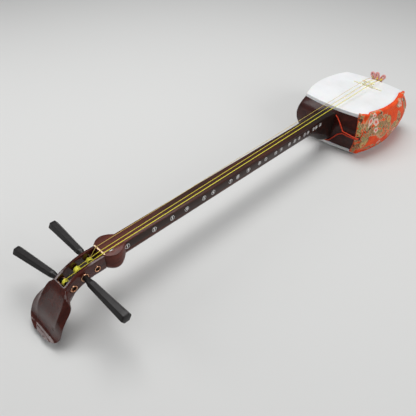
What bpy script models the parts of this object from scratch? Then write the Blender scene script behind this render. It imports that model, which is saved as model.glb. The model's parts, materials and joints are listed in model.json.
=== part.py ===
"""A three-string Japanese lute (shamisen), lying on its back as it is put down on a table.

Every piece is modelled in the instrument's own frame: origin at the centre of the body's back face,
+X from the head towards the tail, +Z out of the front skin, -Y on the side of the cloth cover.
One parent empty then leans the whole instrument so that it rests on its head tip and on the tail
edge of the body, as the real one does. Metres throughout.
"""

import math

import bmesh
import bpy
from mathutils import Vector

# Clearance between pieces that touch
GAP = 0.0003

# Rest posture: lean about Y, and the shift that puts the lowest point at z = 0 and centres the box
REST_TILT = math.radians(0.623)
REST_SHIFT = (0.3603, 0.0, 0.00107)

# Body: four curved staves between two skins
BODY_DEPTH = 0.0968
CORNER_X, CORNER_Y = 0.0893, 0.0757
BULGE_ENDS, BULGE_SIDES = 0.0090, 0.0184
BELLY = 0.0115
STAVE_THICKNESS = 0.011
SKIN_THICKNESS = 0.0012
SKIN_WRAP = 0.0080
SIDE_STEPS = 10
BELLY_STEPS = 8

# Neck
NUT_X = -0.7216
NECK_TOP_NUT, NECK_TOP_BODY = 0.0840, 0.0885
NECK_HALF_WIDTH = 0.0136
NECK_SIDE, NECK_DEPTH = 0.0165, 0.0300
NECK_JOINTS = (-0.5150, -0.3060)
TENON = 0.012
LOBE_START, LOBE_END = -0.7235, -0.6860
LOBE_HALF_WIDTH, LOBE_DEPTH = 0.0245, 0.0390
ROOT_START, ROOT_END, ROOT_BOTTOM = -0.205, -0.104, 0.0150
GROOVE_X, GROOVE_DEPTH = (-0.1062, -0.0990), 0.0030
TANG_HALF_WIDTH, TANG_Z = 0.0080, (0.0440, 0.0720)
PIN_HALF_WIDTH, PIN_Z, PIN_END = 0.0062, (0.0560, 0.0690), 0.1250

# Head: slotted pegbox that bends down into the flared tenjin
BOX_BEND_X, BOX_RADIUS, BOX_TURN = -0.7350, 0.1030, math.radians(33.9)
BOX_HALF_WIDTH, BOX_DEPTH, BOX_DEPTH_END = 0.0150, 0.0275, 0.0240
SLOT_HALF_WIDTH, SLOT_START, SLOT_END = 0.0102, -0.7262, -0.7916
# The tenjin's front centreline, outwards and down from the pegbox's end
FLARE_CURVE = ((0.0, 0.0), (0.0075, 0.0086), (0.0222, 0.0282), (0.0321, 0.0458), (0.0389, 0.0700), (0.0428, 0.0772))
FLARE_STEPS = 20

# Pegs: name, tip point, direction from tip to handle end, winding centre and radius
PEG_LENGTH = 0.1285
PEG_TIP_RADIUS, PEG_WALL_RADIUS = 0.0026, 0.0042
HANDLE_START, HANDLE_RADIUS_START, HANDLE_RADIUS_END = 0.0475, 0.0066, 0.0088
PEG_TIP_Y = 0.0143
PEGS = (
    ("peg_3_string_front", (-0.7384, -1, 0.0690), (0.0215, 1.0, 0.0), 0.0055, 0.0050),
    ("peg_2_string_middle", (-0.7601, 1, 0.0673), (0.0, -1.0, 0.0), 0.0040, 0.0056),
    ("peg_1_string_rear", (-0.7796, -1, 0.0593), (-0.170, 0.985, -0.008), 0.0030, 0.0056),
)
WINDING_LENGTH = 0.0085

# Strings: name, radius, y at the nut, y at the bridge, y at the tail loop, peg index
STRINGS = (
    ("string_1_thick", 0.0006, -0.0106, -0.0150, -0.0135, 2),
    ("string_2_middle", 0.0005, -0.0035, -0.0042, -0.0030, 1),
    ("string_3_thin", 0.0004, 0.0076, 0.0066, 0.0085, 0),
)
NUT_HEIGHT, NUT_THICKNESS = 0.0014, 0.0026
BRIDGE_X, BRIDGE_Y = 0.0500, -0.0042
BRIDGE_HEIGHT, BRIDGE_THICKNESS, BRIDGE_HALF_BASE = 0.0112, 0.0042, 0.0370
LOOP_X, LOOP_Z, LOOP_RADIUS, LOOP_CORD = 0.1010, 0.1010, 0.0030, 0.0012

# Cloth cover on the -Y side
COVER_THICKNESS, COVER_GAP = 0.0030, 0.0006
COVER_FLAP, COVER_LAP = 0.0130, 0.0060
COVER_BOTTOM = 0.0040
EYELET_Z, EYELET_RADIUS = 0.0500, 0.0030
CORD_RADIUS, CORD_TURN_X = 0.0011, 0.1206

# Position strip along the neck's -Y side
STRIP_X, STRIP_DROP, STRIP_HALF_HEIGHT, STRIP_THICKNESS = (-0.6835, -0.1550), 0.0093, 0.0047, 0.0004


def clear_scene():
    for obj in list(bpy.data.objects):
        bpy.data.objects.remove(obj, do_unlink=True)


def finish_material(name, colour, roughness, metallic=0.0):
    material = bpy.data.materials.get(name) or bpy.data.materials.new(name)
    material.use_nodes = True
    shader = material.node_tree.nodes["Principled BSDF"]
    shader.inputs["Base Color"].default_value = (*colour, 1.0)
    shader.inputs["Roughness"].default_value = roughness
    shader.inputs["Metallic"].default_value = metallic
    return material


def add_object(name, bm, origin=(0.0, 0.0, 0.0), smooth_angle=35.0):
    """A mesh object whose vertices are given in the instrument frame and whose origin is moved to a point."""
    bmesh.ops.recalc_face_normals(bm, faces=bm.faces)
    bmesh.ops.translate(bm, verts=bm.verts, vec=-Vector(origin))
    mesh = bpy.data.meshes.new(name)
    bm.to_mesh(mesh)
    bm.free()
    mesh.shade_smooth()
    mesh.set_sharp_from_angle(angle=math.radians(smooth_angle))
    obj = bpy.data.objects.new(name, mesh)
    obj.location = origin
    bpy.context.scene.collection.objects.link(obj)
    return obj


def bridge_rings(bm, first, second):
    count = len(first)
    for i in range(count):
        j = (i + 1) % count
        bm.faces.new((first[i], first[j], second[j], second[i]))


def loft(rings, closed=False, bm=None):
    """Adds a closed solid through rings of equal point count, capped at its ends or joined end to end."""
    bm = bm or bmesh.new()
    rows = [[bm.verts.new(point) for point in ring] for ring in rings]
    for first, second in zip(rows, rows[1:]):
        bridge_rings(bm, first, second)
    if closed:
        bridge_rings(bm, rows[-1], rows[0])
    else:
        bm.faces.new(rows[0])
        bm.faces.new(rows[-1])
    return bm


def box(low, high):
    corners = [(low[1], low[2]), (high[1], low[2]), (high[1], high[2]), (low[1], high[2])]
    return loft([[(x, y, z) for y, z in corners] for x in (low[0], high[0])])


def tube(points, radius, sides=8):
    """Rings of a round bar that follows the points, carried along without twist."""
    points = [Vector(p) for p in points]
    across = (points[1] - points[0]).cross(Vector((0.31, 0.12, 1.0))).normalized()
    turns = [2 * math.pi * k / sides for k in range(sides)]
    rings = []
    for i, point in enumerate(points):
        ahead = (points[min(i + 1, len(points) - 1)] - points[max(i - 1, 0)]).normalized()
        across = (across - ahead * across.dot(ahead)).normalized()
        up = across.cross(ahead)
        rings.append([point + radius * (math.cos(a) * across + math.sin(a) * up) for a in turns])
    return rings


def smooth_path(points, steps):
    """Points read from a Catmull-Rom curve through the given ones."""
    points = [Vector(p) for p in points]
    padded = [2 * points[0] - points[1], *points, 2 * points[-1] - points[-2]]
    path = []
    for i in range(len(points) - 1):
        a, b, c, d = padded[i : i + 4]
        for k in range(steps):
            t = k / steps
            path.append(0.5 * (2 * b + (c - a) * t + (2 * a - 5 * b + 4 * c - d) * t * t
                               + (3 * b - a - 3 * c + d) * t ** 3))
    return [*path, points[-1]]


def turned(profile, centre, axis, sides=24):
    """A turned solid: profile rows are (distance along the axis, radius, share of a hexagon's flat)."""
    centre, axis = Vector(centre), Vector(axis).normalized()
    side = axis.cross(Vector((0.0, 0.0, 1.0))).normalized()
    up = side.cross(axis)
    rings = []
    for along, radius, flat in profile:
        ring = []
        for k in range(sides):
            a = 2 * math.pi * k / sides
            off_corner = (a + math.pi / 6) % (math.pi / 3) - math.pi / 6
            hexagon = math.cos(math.pi / 6) / math.cos(math.pi / 6 - abs(off_corner))
            r = radius * (1 + flat * (hexagon - 1))
            ring.append(centre + axis * along + r * (math.cos(a) * side + math.sin(a) * up))
        rings.append(ring)
    return rings


def boolean(target, operation, bm):
    """Applies a Boolean with a throwaway tool solid, and keeps the target as a plain mesh."""
    tool = add_object("tool", bm)
    tool.hide_render = True
    tool.display_type = "WIRE"
    modifier = target.modifiers.new("tool", "BOOLEAN")
    modifier.operation = operation
    modifier.object = tool
    bpy.context.view_layer.update()
    graph = bpy.context.evaluated_depsgraph_get()
    result = bpy.data.meshes.new_from_object(target.evaluated_get(graph))
    target.modifiers.clear()
    target.data = result
    result.shade_smooth()
    result.set_sharp_from_angle(angle=math.radians(35.0))
    bpy.data.objects.remove(tool, do_unlink=True)


def paint(obj, colour, roughness, metallic=0.0, name=None):
    obj.data.materials.clear()
    obj.data.materials.append(finish_material(name or obj.name, colour, roughness, metallic))
    return obj


def smoothstep(t):
    t = min(max(t, 0.0), 1.0)
    return t * t * (3 - 2 * t)


def between(table, at):
    """Reads a value from rows of (position, value), smoothly between the rows."""
    for (a, value_a), (b, value_b) in zip(table, table[1:]):
        if at <= b:
            return value_a + (value_b - value_a) * smoothstep((at - a) / (b - a))
    return table[-1][1]


# Body ------------------------------------------------------------------------------------------


def belly(z):
    """How far the wood stands out beyond the skin's edge at a height."""
    middle = BODY_DEPTH / 2
    reach = middle - SKIN_WRAP - GAP
    return BELLY * max(0.0, 1 - ((z - middle) / reach) ** 2)


def wall_point(side, u, offset, z):
    """A point of the body's outline: u runs from -1 to 1 along the side, offset is outwards."""
    if side in ("head", "tail"):
        x = CORNER_X + BULGE_ENDS * (1 - u * u) + offset
        return (-x if side == "head" else x, u * (CORNER_Y + offset), z)
    y = CORNER_Y + BULGE_SIDES * (1 - u * u) + offset
    return (u * (CORNER_X + offset), -y if side == "near" else y, z)


def outline(offset, z, steps=SIDE_STEPS):
    """The body's whole outline, as one ring."""
    ring = []
    for side, direction in (("near", 1), ("tail", 1), ("far", -1), ("head", -1)):
        ring += [wall_point(side, direction * (2 * i / steps - 1), offset, z) for i in range(steps)]
    return ring


def stave_profile():
    """(offset, z) rows round a stave's section, from the back inner edge over the outside."""
    inner = -STAVE_THICKNESS
    low, high = SKIN_THICKNESS + GAP, BODY_DEPTH - SKIN_THICKNESS - GAP
    tucked = -SKIN_THICKNESS - GAP
    ledge = SKIN_WRAP + GAP
    rows = [(inner, low), (tucked, low), (tucked, ledge)]
    for i in range(BELLY_STEPS + 1):
        z = ledge + (BODY_DEPTH - 2 * ledge) * i / BELLY_STEPS
        rows.append((belly(z), z))
    return [*rows, (tucked, BODY_DEPTH - ledge), (tucked, high), (inner, high)]


def make_stave(side):
    """One of the body's four walls, mitred at both ends with a hair of clearance."""
    rings = []
    shy = 0.75 * GAP
    for i in range(SIDE_STEPS + 1):
        u = 2 * i / SIDE_STEPS - 1
        ring = []
        for offset, z in stave_profile():
            x, y, z = wall_point(side, u, offset, z)
            if abs(u) == 1.0:
                if side in ("head", "tail"):
                    y -= math.copysign(shy, u)
                else:
                    x -= math.copysign(shy, u)
            ring.append((x, y, z))
        rings.append(ring)
    stave = add_object(f"body_stave_{side}", loft(rings))
    if side == "head":
        low = (-0.2, -TANG_HALF_WIDTH - GAP, TANG_Z[0] - GAP)
        high = (-0.05, TANG_HALF_WIDTH + GAP, TANG_Z[1] + GAP)
        boolean(stave, "DIFFERENCE", box(low, high))
    if side == "tail":
        low = (0.05, -PIN_HALF_WIDTH - GAP, PIN_Z[0] - GAP)
        high = (0.2, PIN_HALF_WIDTH + GAP, PIN_Z[1] + GAP)
        boolean(stave, "DIFFERENCE", box(low, high))
    return paint(stave, (0.105, 0.022, 0.014), 0.22)


def make_skin(name, face, inward):
    """A stretched skin: a flat sheet whose edge is turned down and glued over the staves."""
    edge = 0.0010
    bm = bmesh.new()
    rows = []
    for offset, depth in (
        (0.0, SKIN_WRAP),
        (0.0, edge),
        (-edge, 0.0),
    ):
        rows.append([bm.verts.new(p) for p in outline(offset, face + inward * depth)])
    for depth in (SKIN_THICKNESS, SKIN_WRAP):
        rows.append([bm.verts.new(p) for p in outline(-SKIN_THICKNESS, face + inward * depth)])
    bridge_rings(bm, rows[0], rows[1])
    bridge_rings(bm, rows[1], rows[2])
    bm.faces.new(rows[2])
    bm.faces.new(rows[3])
    bridge_rings(bm, rows[3], rows[4])
    bridge_rings(bm, rows[4], rows[0])
    return paint(add_object(name, bm), (0.86, 0.84, 0.80), 0.42)


# Neck ------------------------------------------------------------------------------------------


def neck_top(x):
    body_edge = -CORNER_X - BULGE_ENDS
    return NECK_TOP_NUT + (NECK_TOP_BODY - NECK_TOP_NUT) * (x - NUT_X) / (body_edge - NUT_X)


def neck_section(x, half_width=NECK_HALF_WIDTH, side=NECK_SIDE, depth=NECK_DEPTH, arc=8):
    """Flat playing face, upright sides and a half-round back."""
    top = neck_top(x)
    edge = 0.0006
    ring = [(x, -half_width + edge, top), (x, half_width - edge, top), (x, half_width, top - edge)]
    for i in range(arc + 1):
        a = math.pi * i / arc
        ring.append((x, half_width * math.cos(a), top - side - (depth - side) * math.sin(a)))
    return [*ring, (x, -half_width, top - edge)]


def lobe_section(x):
    """The neck widened by the two lobes beside the nut."""
    t = min(max((x - LOBE_START) / (LOBE_END - LOBE_START), 0.0), 1.0)
    swell = math.sin(math.pi * t ** 0.92) ** 0.9 if 0.0 < t < 1.0 else 0.0
    half_width = NECK_HALF_WIDTH + (LOBE_HALF_WIDTH - NECK_HALF_WIDTH) * swell
    depth = NECK_DEPTH + (LOBE_DEPTH - NECK_DEPTH) * swell
    return neck_section(x, half_width, NECK_SIDE + 0.006 * swell, depth)


def root_section(x):
    """The neck's back drops in a pigeon-breast curve where it meets the body."""
    t = smoothstep((x - ROOT_START) / (ROOT_END - ROOT_START))
    depth = NECK_DEPTH + (neck_top(x) - ROOT_BOTTOM - NECK_DEPTH) * t
    side = NECK_SIDE + (depth - NECK_DEPTH) * 0.78
    return neck_section(x, NECK_HALF_WIDTH + 0.0002 * t, side, depth)


def tenon_box(x, grow, reach):
    middle = neck_top(x) - NECK_DEPTH / 2
    half = TENON / 2 + grow
    return box((x - reach, -half, middle - half), (x + TENON + grow, half, middle + half))


def make_neck_pieces():
    colour, roughness = (0.100, 0.030, 0.018), 0.25
    lobe_stations = [LOBE_START + (LOBE_END - LOBE_START) * i / 14 for i in range(15)]
    first_joint, second_joint = NECK_JOINTS
    upper = add_object(
        "upper_neck",
        loft([lobe_section(x) for x in (*lobe_stations, first_joint - GAP / 2)]),
    )
    middle = add_object(
        "middle_neck",
        loft([neck_section(x) for x in (first_joint + GAP / 2, second_joint - GAP / 2)]),
    )
    root_stations = [ROOT_START + (ROOT_END - ROOT_START) * i / 12 for i in range(13)]
    lower = add_object(
        "lower_neck",
        loft([root_section(x) for x in (second_joint + GAP / 2, *root_stations, -0.085)]),
    )
    for joint, holder, socket in ((first_joint, upper, middle), (second_joint, middle, lower)):
        boolean(holder, "UNION", tenon_box(joint, 0.0, 0.004))
        boolean(socket, "DIFFERENCE", tenon_box(joint, GAP, 0.0))
    cutter = [outline(belly(z) + 1.3 * GAP, z) for z in body_heights()]
    boolean(lower, "DIFFERENCE", loft(cutter))
    floor = neck_top(GROOVE_X[0]) - GROOVE_DEPTH
    boolean(lower, "DIFFERENCE", box((GROOVE_X[0], -0.05, floor), (-0.05, 0.05, 0.2)))
    tang = box((-0.114, -TANG_HALF_WIDTH, TANG_Z[0]), (0.080, TANG_HALF_WIDTH, TANG_Z[1]))
    boolean(lower, "UNION", tang)
    pin = box((0.070, -PIN_HALF_WIDTH, PIN_Z[0]), (PIN_END, PIN_HALF_WIDTH, PIN_Z[1]))
    boolean(lower, "UNION", pin)
    boolean(upper, "DIFFERENCE", sawari_box(GAP))
    for piece in (upper, middle, lower):
        paint(piece, colour, roughness)


def body_heights():
    ledge = SKIN_WRAP + GAP
    span = BODY_DEPTH - 2 * ledge
    return [-0.01, *[ledge + span * i / 14 for i in range(15)], BODY_DEPTH + 0.02]


def sawari_box(grow):
    """Pocket for, or body of, the buzzing piece beside the thick string."""
    top = neck_top(-0.708)
    low = (-0.7120 - grow, -0.0125 - grow, top - 0.004 - grow)
    high = (-0.7060 + grow, -0.0098 + grow, top + (0.0002 if grow == 0.0 else 0.02))
    return box(low, high)


def make_nut():
    half = NECK_HALF_WIDTH + 0.0002
    top = neck_top(NUT_X) + GAP
    nut = add_object(
        "nut",
        box((NUT_X - NUT_THICKNESS / 2, -half, top), (NUT_X + NUT_THICKNESS / 2, half, top + NUT_HEIGHT)),
    )
    bevel = nut.modifiers.new("rounded_edges", "BEVEL")
    bevel.width = 0.0005
    bevel.segments = 2
    paint(nut, (0.78, 0.57, 0.30), 0.28, 1.0)


def make_strip():
    """The clear self-adhesive strip that carries the position numbers."""
    y = -NECK_HALF_WIDTH - GAP
    rings = []
    for x in STRIP_X:
        z = neck_top(x) - STRIP_DROP
        low, high = z - STRIP_HALF_HEIGHT, z + STRIP_HALF_HEIGHT
        rings.append([(x, y, low), (x, y, high), (x, y - STRIP_THICKNESS, high), (x, y - STRIP_THICKNESS, low)])
    paint(add_object("position_strip", loft(rings)), (0.10, 0.05, 0.04), 0.3)


# Head ------------------------------------------------------------------------------------------


def head_section(x, z, angle, ridge, edge, recess, floor, depth, back):
    """A section square to the head's front curve: front panel, sides, rim and rounded back."""
    normal = Vector((-math.sin(angle), 0.0, math.cos(angle)))
    rim = recess + 0.0025
    rows = [
        (ridge, floor),
        (edge, recess),
        (edge, rim),
        (0.5 * (edge + back), 0.5 * (rim + depth) + 0.0008),
        (back, depth - 0.0030),
        (back - 0.0030, depth),
    ]
    half = [Vector((x, y, z)) - d * normal for y, d in rows]
    other = [Vector((x, -y, z)) - d * normal for y, d in rows]
    return half + other[::-1]


def flare_stations(start_x, start_z):
    """(distance, x, z, angle) down the tenjin's front, closer together towards its end."""
    path = smooth_path([(start_x - out, 0.0, start_z - down) for out, down in FLARE_CURVE], 12)
    travelled = [0.0]
    for a, b in zip(path, path[1:]):
        travelled.append(travelled[-1] + (b - a).length)
    for i in range(1, FLARE_STEPS + 1):
        s = travelled[-1] * math.sin(0.5 * math.pi * i / FLARE_STEPS) ** 0.92
        k = min(max(j for j, reached in enumerate(travelled) if reached <= s + 1e-9), len(path) - 2)
        share = (s - travelled[k]) / (travelled[k + 1] - travelled[k])
        before, after = path[max(k - 3, 0)], path[min(k + 4, len(path) - 1)]
        place = path[k].lerp(path[k + 1], share)
        yield s, place.x, place.z, math.atan2(before.z - after.z, before.x - after.x)


def head_sections():
    """Pegbox along its bend, then the tenjin flaring out and down, its end dished and turned up."""
    top = neck_top(NUT_X)
    width = BOX_HALF_WIDTH
    sections = []
    for x in (LOBE_START - GAP, BOX_BEND_X):
        sections.append(head_section(x, top, 0.0, width - 0.0005, width, 0.0005, 0.0, BOX_DEPTH, width))
    for i in range(1, 8):
        angle = BOX_TURN * i / 7
        x = BOX_BEND_X - BOX_RADIUS * math.sin(angle)
        z = top - BOX_RADIUS * (1 - math.cos(angle))
        depth = BOX_DEPTH + (BOX_DEPTH_END - BOX_DEPTH) * i / 7
        sections.append(head_section(x, z, angle, width - 0.0005, width, 0.0005, 0.0, depth, width))
    ridges = ((0.0, 0.0145), (0.0114, 0.0225), (0.0359, 0.0250), (0.0561, 0.0245), (0.0790, 0.0205), (0.0860, 0.0130),
              (0.0894, 0.0060))
    edges = ((0.0, 0.0150), (0.0114, 0.0240), (0.0222, 0.0335), (0.0410, 0.0370), (0.0712, 0.0405), (0.0780, 0.0390),
             (0.0830, 0.0340), (0.0870, 0.0240), (0.0894, 0.0110))
    recesses = ((0.0, 0.0005), (0.0114, 0.0030), (0.0222, 0.0090), (0.0410, 0.0045), (0.0712, -0.0010),
                (0.0830, -0.0080), (0.0870, -0.0118), (0.0894, -0.0135))
    floors = ((0.0, 0.0), (0.0600, 0.0), (0.0740, -0.0010), (0.0830, -0.0045), (0.0870, -0.0085), (0.0894, -0.0130))
    depths = ((0.0, 0.0240), (0.020, 0.0200), (0.060, 0.0150), (0.080, 0.0095), (0.0894, -0.0010))
    backs = ((0.0, 0.0150), (0.020, 0.0175), (0.040, 0.0190), (0.070, 0.0190), (0.082, 0.0150), (0.0894, 0.0060))
    for s, x, z, angle in flare_stations(x, z):
        sections.append(
            head_section(x, z, angle, between(ridges, s), between(edges, s), between(recesses, s),
                         between(floors, s), between(depths, s), between(backs, s))
        )
    return sections


def slot_solid():
    """The pegbox slot: right through, with a lip at the nut end that leaves the strings room."""
    lip = neck_top(NUT_X) - 0.0045
    points = [(LOBE_START + GAP, 0.11), (LOBE_START + GAP, lip), (SLOT_START, lip - 0.004),
              (SLOT_START, 0.0), (SLOT_END, 0.0), (SLOT_END, 0.11)]
    return loft([[(x, y, z) for x, z in points] for y in (-SLOT_HALF_WIDTH, SLOT_HALF_WIDTH)])


def peg_axis(peg):
    """Tip point and direction of a peg in the instrument frame."""
    x, side, z = peg[1]
    return Vector((x, side * PEG_TIP_Y, z)), Vector(peg[2]).normalized()


def stem_radius(along):
    return PEG_TIP_RADIUS + (PEG_WALL_RADIUS - PEG_TIP_RADIUS) * along / 0.029


def wall_crossings(peg):
    """For each pegbox wall: centre point, outward direction and the hole radius that clears the stem."""
    tip, direction = peg_axis(peg)
    drift = 0.0035 * math.hypot(direction.x, direction.z)
    for side in (-1, 1):
        y = side * 0.5 * (SLOT_HALF_WIDTH + BOX_HALF_WIDTH)
        along = (y - tip.y) / direction.y
        centre = tip + along * direction
        yield centre, side, stem_radius(along + 0.003) + drift + 0.0004


def make_tenjin():
    tenjin = add_object("tenjin", loft(head_sections()))
    boolean(tenjin, "DIFFERENCE", slot_solid())
    holes = bmesh.new()
    for peg in PEGS:
        for centre, side, radius in wall_crossings(peg):
            face = 0.5 * (BOX_HALF_WIDTH - SLOT_HALF_WIDTH) + 0.2 * GAP
            rows = [(-0.0041, radius + 0.0013, 0.0), (face, radius + 0.0013, 0.0),
                    (face, radius + 0.0035, 0.0), (0.0250, radius + 0.0065, 0.0)]
            loft(turned(rows, centre, (0, side, 0), sides=18), bm=holes)
    boolean(tenjin, "DIFFERENCE", holes)
    paint(tenjin, (0.120, 0.028, 0.018), 0.18)


def make_rings():
    """Metal bushes in the pegbox walls: a sleeve with a rounded flange outside."""
    wall = BOX_HALF_WIDTH - SLOT_HALF_WIDTH
    for peg in PEGS:
        for centre, side, radius in wall_crossings(peg):
            outside = wall / 2 + GAP
            sleeve = radius + 0.0010
            rows = [
                (-wall / 2, radius), (-wall / 2, sleeve), (outside, sleeve), (outside, radius + 0.0026),
                (outside + 0.0007, radius + 0.0031), (outside + 0.0014, radius + 0.0022),
                (outside + 0.0015, radius + 0.0010), (outside + 0.0010, radius),
            ]
            profile = [(along, r, 0.0) for along, r in rows]
            rings = turned(profile, centre, (0, side, 0), sides=16)
            bm = loft(rings, closed=True)
            number = peg[0].split("_")[1]
            place = "tip" if side == peg[1][1] else "handle"
            paint(add_object(f"peg_{number}_bush_{place}", bm), (0.72, 0.40, 0.22), 0.25, 1.0)


def make_pegs():
    for peg in PEGS:
        name, winding_y, winding_radius = peg[0], peg[3], peg[4]
        tip, direction = peg_axis(peg)
        end = PEG_LENGTH
        profile = [
            (0.0, 0.0018, 0.0), (0.0008, PEG_TIP_RADIUS, 0.0), (0.029, PEG_WALL_RADIUS, 0.0),
            (0.0400, PEG_WALL_RADIUS + 0.0004, 0.0), (0.0435, PEG_WALL_RADIUS + 0.0012, 0.35),
            (HANDLE_START, HANDLE_RADIUS_START, 0.9), (0.0520, HANDLE_RADIUS_START + 0.0002, 1.0),
            (end - 0.0022, HANDLE_RADIUS_END, 1.0), (end - 0.0007, HANDLE_RADIUS_END - 0.0008, 1.0),
            (end, HANDLE_RADIUS_END - 0.0026, 1.0),
        ]
        centre = tip + direction * (winding_y - tip.y) / direction.y
        obj = add_object(name, loft(turned(profile, tip, direction, sides=24)), origin=centre)
        paint(obj, (0.022, 0.020, 0.020), 0.35)
        inner = stem_radius((centre - tip).length + WINDING_LENGTH / 2) + GAP
        shoulder = 0.5 * (inner + winding_radius)
        half = WINDING_LENGTH / 2 * min(1.0, winding_radius / 0.0056) ** 3
        rows = [(-half, inner), (-half, shoulder), (-0.6 * half, winding_radius),
                (0.6 * half, winding_radius), (half, shoulder), (half, inner)]
        bm = loft(turned([(a, r, 0.0) for a, r in rows], centre, direction, sides=16), closed=True)
        winding = add_object(name.replace("peg", "winding"), bm, origin=centre)
        paint(winding, (0.80, 0.72, 0.12), 0.45)


# Strings and what holds them ---------------------------------------------------------------------


def make_strings():
    nut_top = neck_top(NUT_X) + GAP + NUT_HEIGHT
    bridge_top = BODY_DEPTH + GAP + BRIDGE_HEIGHT
    for name, radius, nut_y, bridge_y, tail_y, index in STRINGS:
        peg = PEGS[index]
        tip, direction = peg_axis(peg)
        centre = tip + direction * (peg[3] - tip.y) / direction.y
        clear = radius + GAP
        start = Vector((centre.x + 0.0015, centre.y, centre.z + peg[4] + clear + 0.0002))
        nut = Vector((NUT_X, nut_y, nut_top + clear))
        bridge = Vector((BRIDGE_X, bridge_y, bridge_top + clear))
        loop = Vector((LOOP_X - LOOP_RADIUS - LOOP_CORD - 0.0006, tail_y, LOOP_Z + 0.0006))
        on_nut = Vector((NUT_THICKNESS / 2 + GAP, 0.0, 0.0))
        on_bridge = Vector((BRIDGE_THICKNESS / 2, 0.0, 0.0))
        points = [start, start.lerp(nut - on_nut, 0.5), nut - on_nut, nut + on_nut, nut.lerp(bridge, 0.5),
                  bridge - on_bridge, bridge + on_bridge, bridge.lerp(loop, 0.6), loop]
        string = add_object(name, loft(tube(points, radius, sides=6)), smooth_angle=80.0)
        paint(string, (0.82, 0.74, 0.20), 0.4)


def make_bridge():
    """A flat footed bar with two splayed legs and a raised top that carries the strings."""
    foot, leg, top = 0.0024, 0.0035, 0.0030
    height = BRIDGE_HEIGHT
    half = [
        (0.0060, foot), (0.0075, height - top), (0.0, height - top),
    ]
    outer = [(0.0, height), (0.0152, height), (0.0165, height - 0.0012), (0.0158, height - top),
             (0.0075 + leg, height - top), (0.0060 + leg + 0.0010, foot), (0.0200, foot * 0.9),
             (BRIDGE_HALF_BASE, 0.0012), (BRIDGE_HALF_BASE, 0.0), (0.0, 0.0)]
    base_z = BODY_DEPTH + GAP
    right = outer[:9]
    ring = right + [(-y, z) for y, z in reversed(right) if y > 0.0]
    rings = []
    for x in (BRIDGE_X - BRIDGE_THICKNESS / 2, BRIDGE_X + BRIDGE_THICKNESS / 2):
        rings.append([(x, BRIDGE_Y + y, base_z + z) for y, z in ring])
    bridge = add_object("bridge", loft(rings))
    window = [(half[0][0], half[0][1]), (half[1][0], half[1][1]), (-half[1][0], half[1][1]), (-half[0][0], half[0][1])]
    through = (BRIDGE_X - BRIDGE_THICKNESS, BRIDGE_X + BRIDGE_THICKNESS)
    cut = [[(x, BRIDGE_Y + y, base_z + z) for y, z in window] for x in through]
    boolean(bridge, "DIFFERENCE", loft(cut))
    paint(bridge, (0.82, 0.74, 0.52), 0.4)


def make_tailpiece():
    """Braided silk: two strands round the end pin, a knot at the body's edge and a loop per string."""
    cord = 0.0024
    edge_x = CORNER_X + BULGE_ENDS
    knot_x, knot_z = edge_x + 0.0042, BODY_DEPTH - 0.0040
    rows = [(-0.0160, 0.0016), (-0.0145, 0.0026), (0.0110, 0.0026), (0.0125, 0.0016)]
    knot = loft(turned([(y, r, 0.0) for y, r in rows], (knot_x, 0.0, knot_z), (0, 1, 0), sides=12))
    silk = (0.62, 0.10, 0.09)
    paint(add_object("tailpiece_knot", knot), silk, 0.6)
    for number, string in zip((1, 2, 3), STRINGS):
        y = string[4]
        rings = []
        for k in range(14):
            a = 2 * math.pi * k / 14
            centre = Vector((LOOP_X + LOOP_RADIUS * math.cos(a), y, LOOP_Z + 0.85 * LOOP_RADIUS * math.sin(a)))
            out = Vector((math.cos(a), 0.0, math.sin(a)))
            turns = [2 * math.pi * j / 8 for j in range(8)]
            rings.append([centre + LOOP_CORD * (math.cos(b) * out + math.sin(b) * Vector((0, 1, 0))) for b in turns])
        paint(add_object(f"tailpiece_loop_{number}", loft(rings, closed=True)), silk, 0.6)
    side = PIN_HALF_WIDTH + cord + 2 * GAP
    hang = edge_x + BELLY + cord + 2 * GAP
    low = PIN_Z[0] - cord - 4 * GAP
    knot, wall = Vector((knot_x, side, knot_z)), Vector((hang - 0.0015, side, 0.0800))
    start = knot + (wall - knot).normalized() * (0.0026 + 2 * GAP)
    down = [tuple(start), tuple(wall), (hang, side, 0.0680),
            (hang, side, PIN_Z[0] + 0.0020), (hang, 0.95 * side, PIN_Z[0] - 0.0016),
            (hang, 0.70 * side, low + 0.0003), (hang, 0.0, low)]
    route = down + [(x, -y, z) for x, y, z in reversed(down[:-1])]
    paint(add_object("tailpiece_cord", loft(tube(smooth_path(route, 4), cord, sides=10))), silk, 0.6)


# Cloth cover -------------------------------------------------------------------------------------


def cover_stations():
    """(side, u) along the cover's length, from the head-side flap round the body to the tail-side flap."""
    flap = [1 - COVER_FLAP / CORNER_Y * (1 - i / 3) for i in range(3)]
    head = [("head", -v) for v in flap]
    near = [("near", 2 * i / 16 - 1) for i in range(17)]
    tail = [("tail", -v) for v in reversed(flap)]
    return head + near + tail


def cover_profile(lap):
    """(offset, z) rows round the cover's section; lap is how far it folds over the front skin."""
    inside, outside = COVER_GAP, COVER_GAP + COVER_THICKNESS
    heights = [COVER_BOTTOM + (BODY_DEPTH - 0.002 - COVER_BOTTOM) * i / 9 for i in range(10)]
    lid = BODY_DEPTH + COVER_GAP
    inner = [(belly(z) + inside, z) for z in heights] + [(inside, lid), (-lap, lid)]
    outer = [(belly(z) + outside, z) for z in heights]
    outer += [(outside - 0.0006, lid + 0.6 * COVER_THICKNESS), (outside - 0.0024, lid + COVER_THICKNESS)]
    outer += [(-lap, lid + COVER_THICKNESS * 0.6)]
    return inner + outer[::-1]


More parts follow.
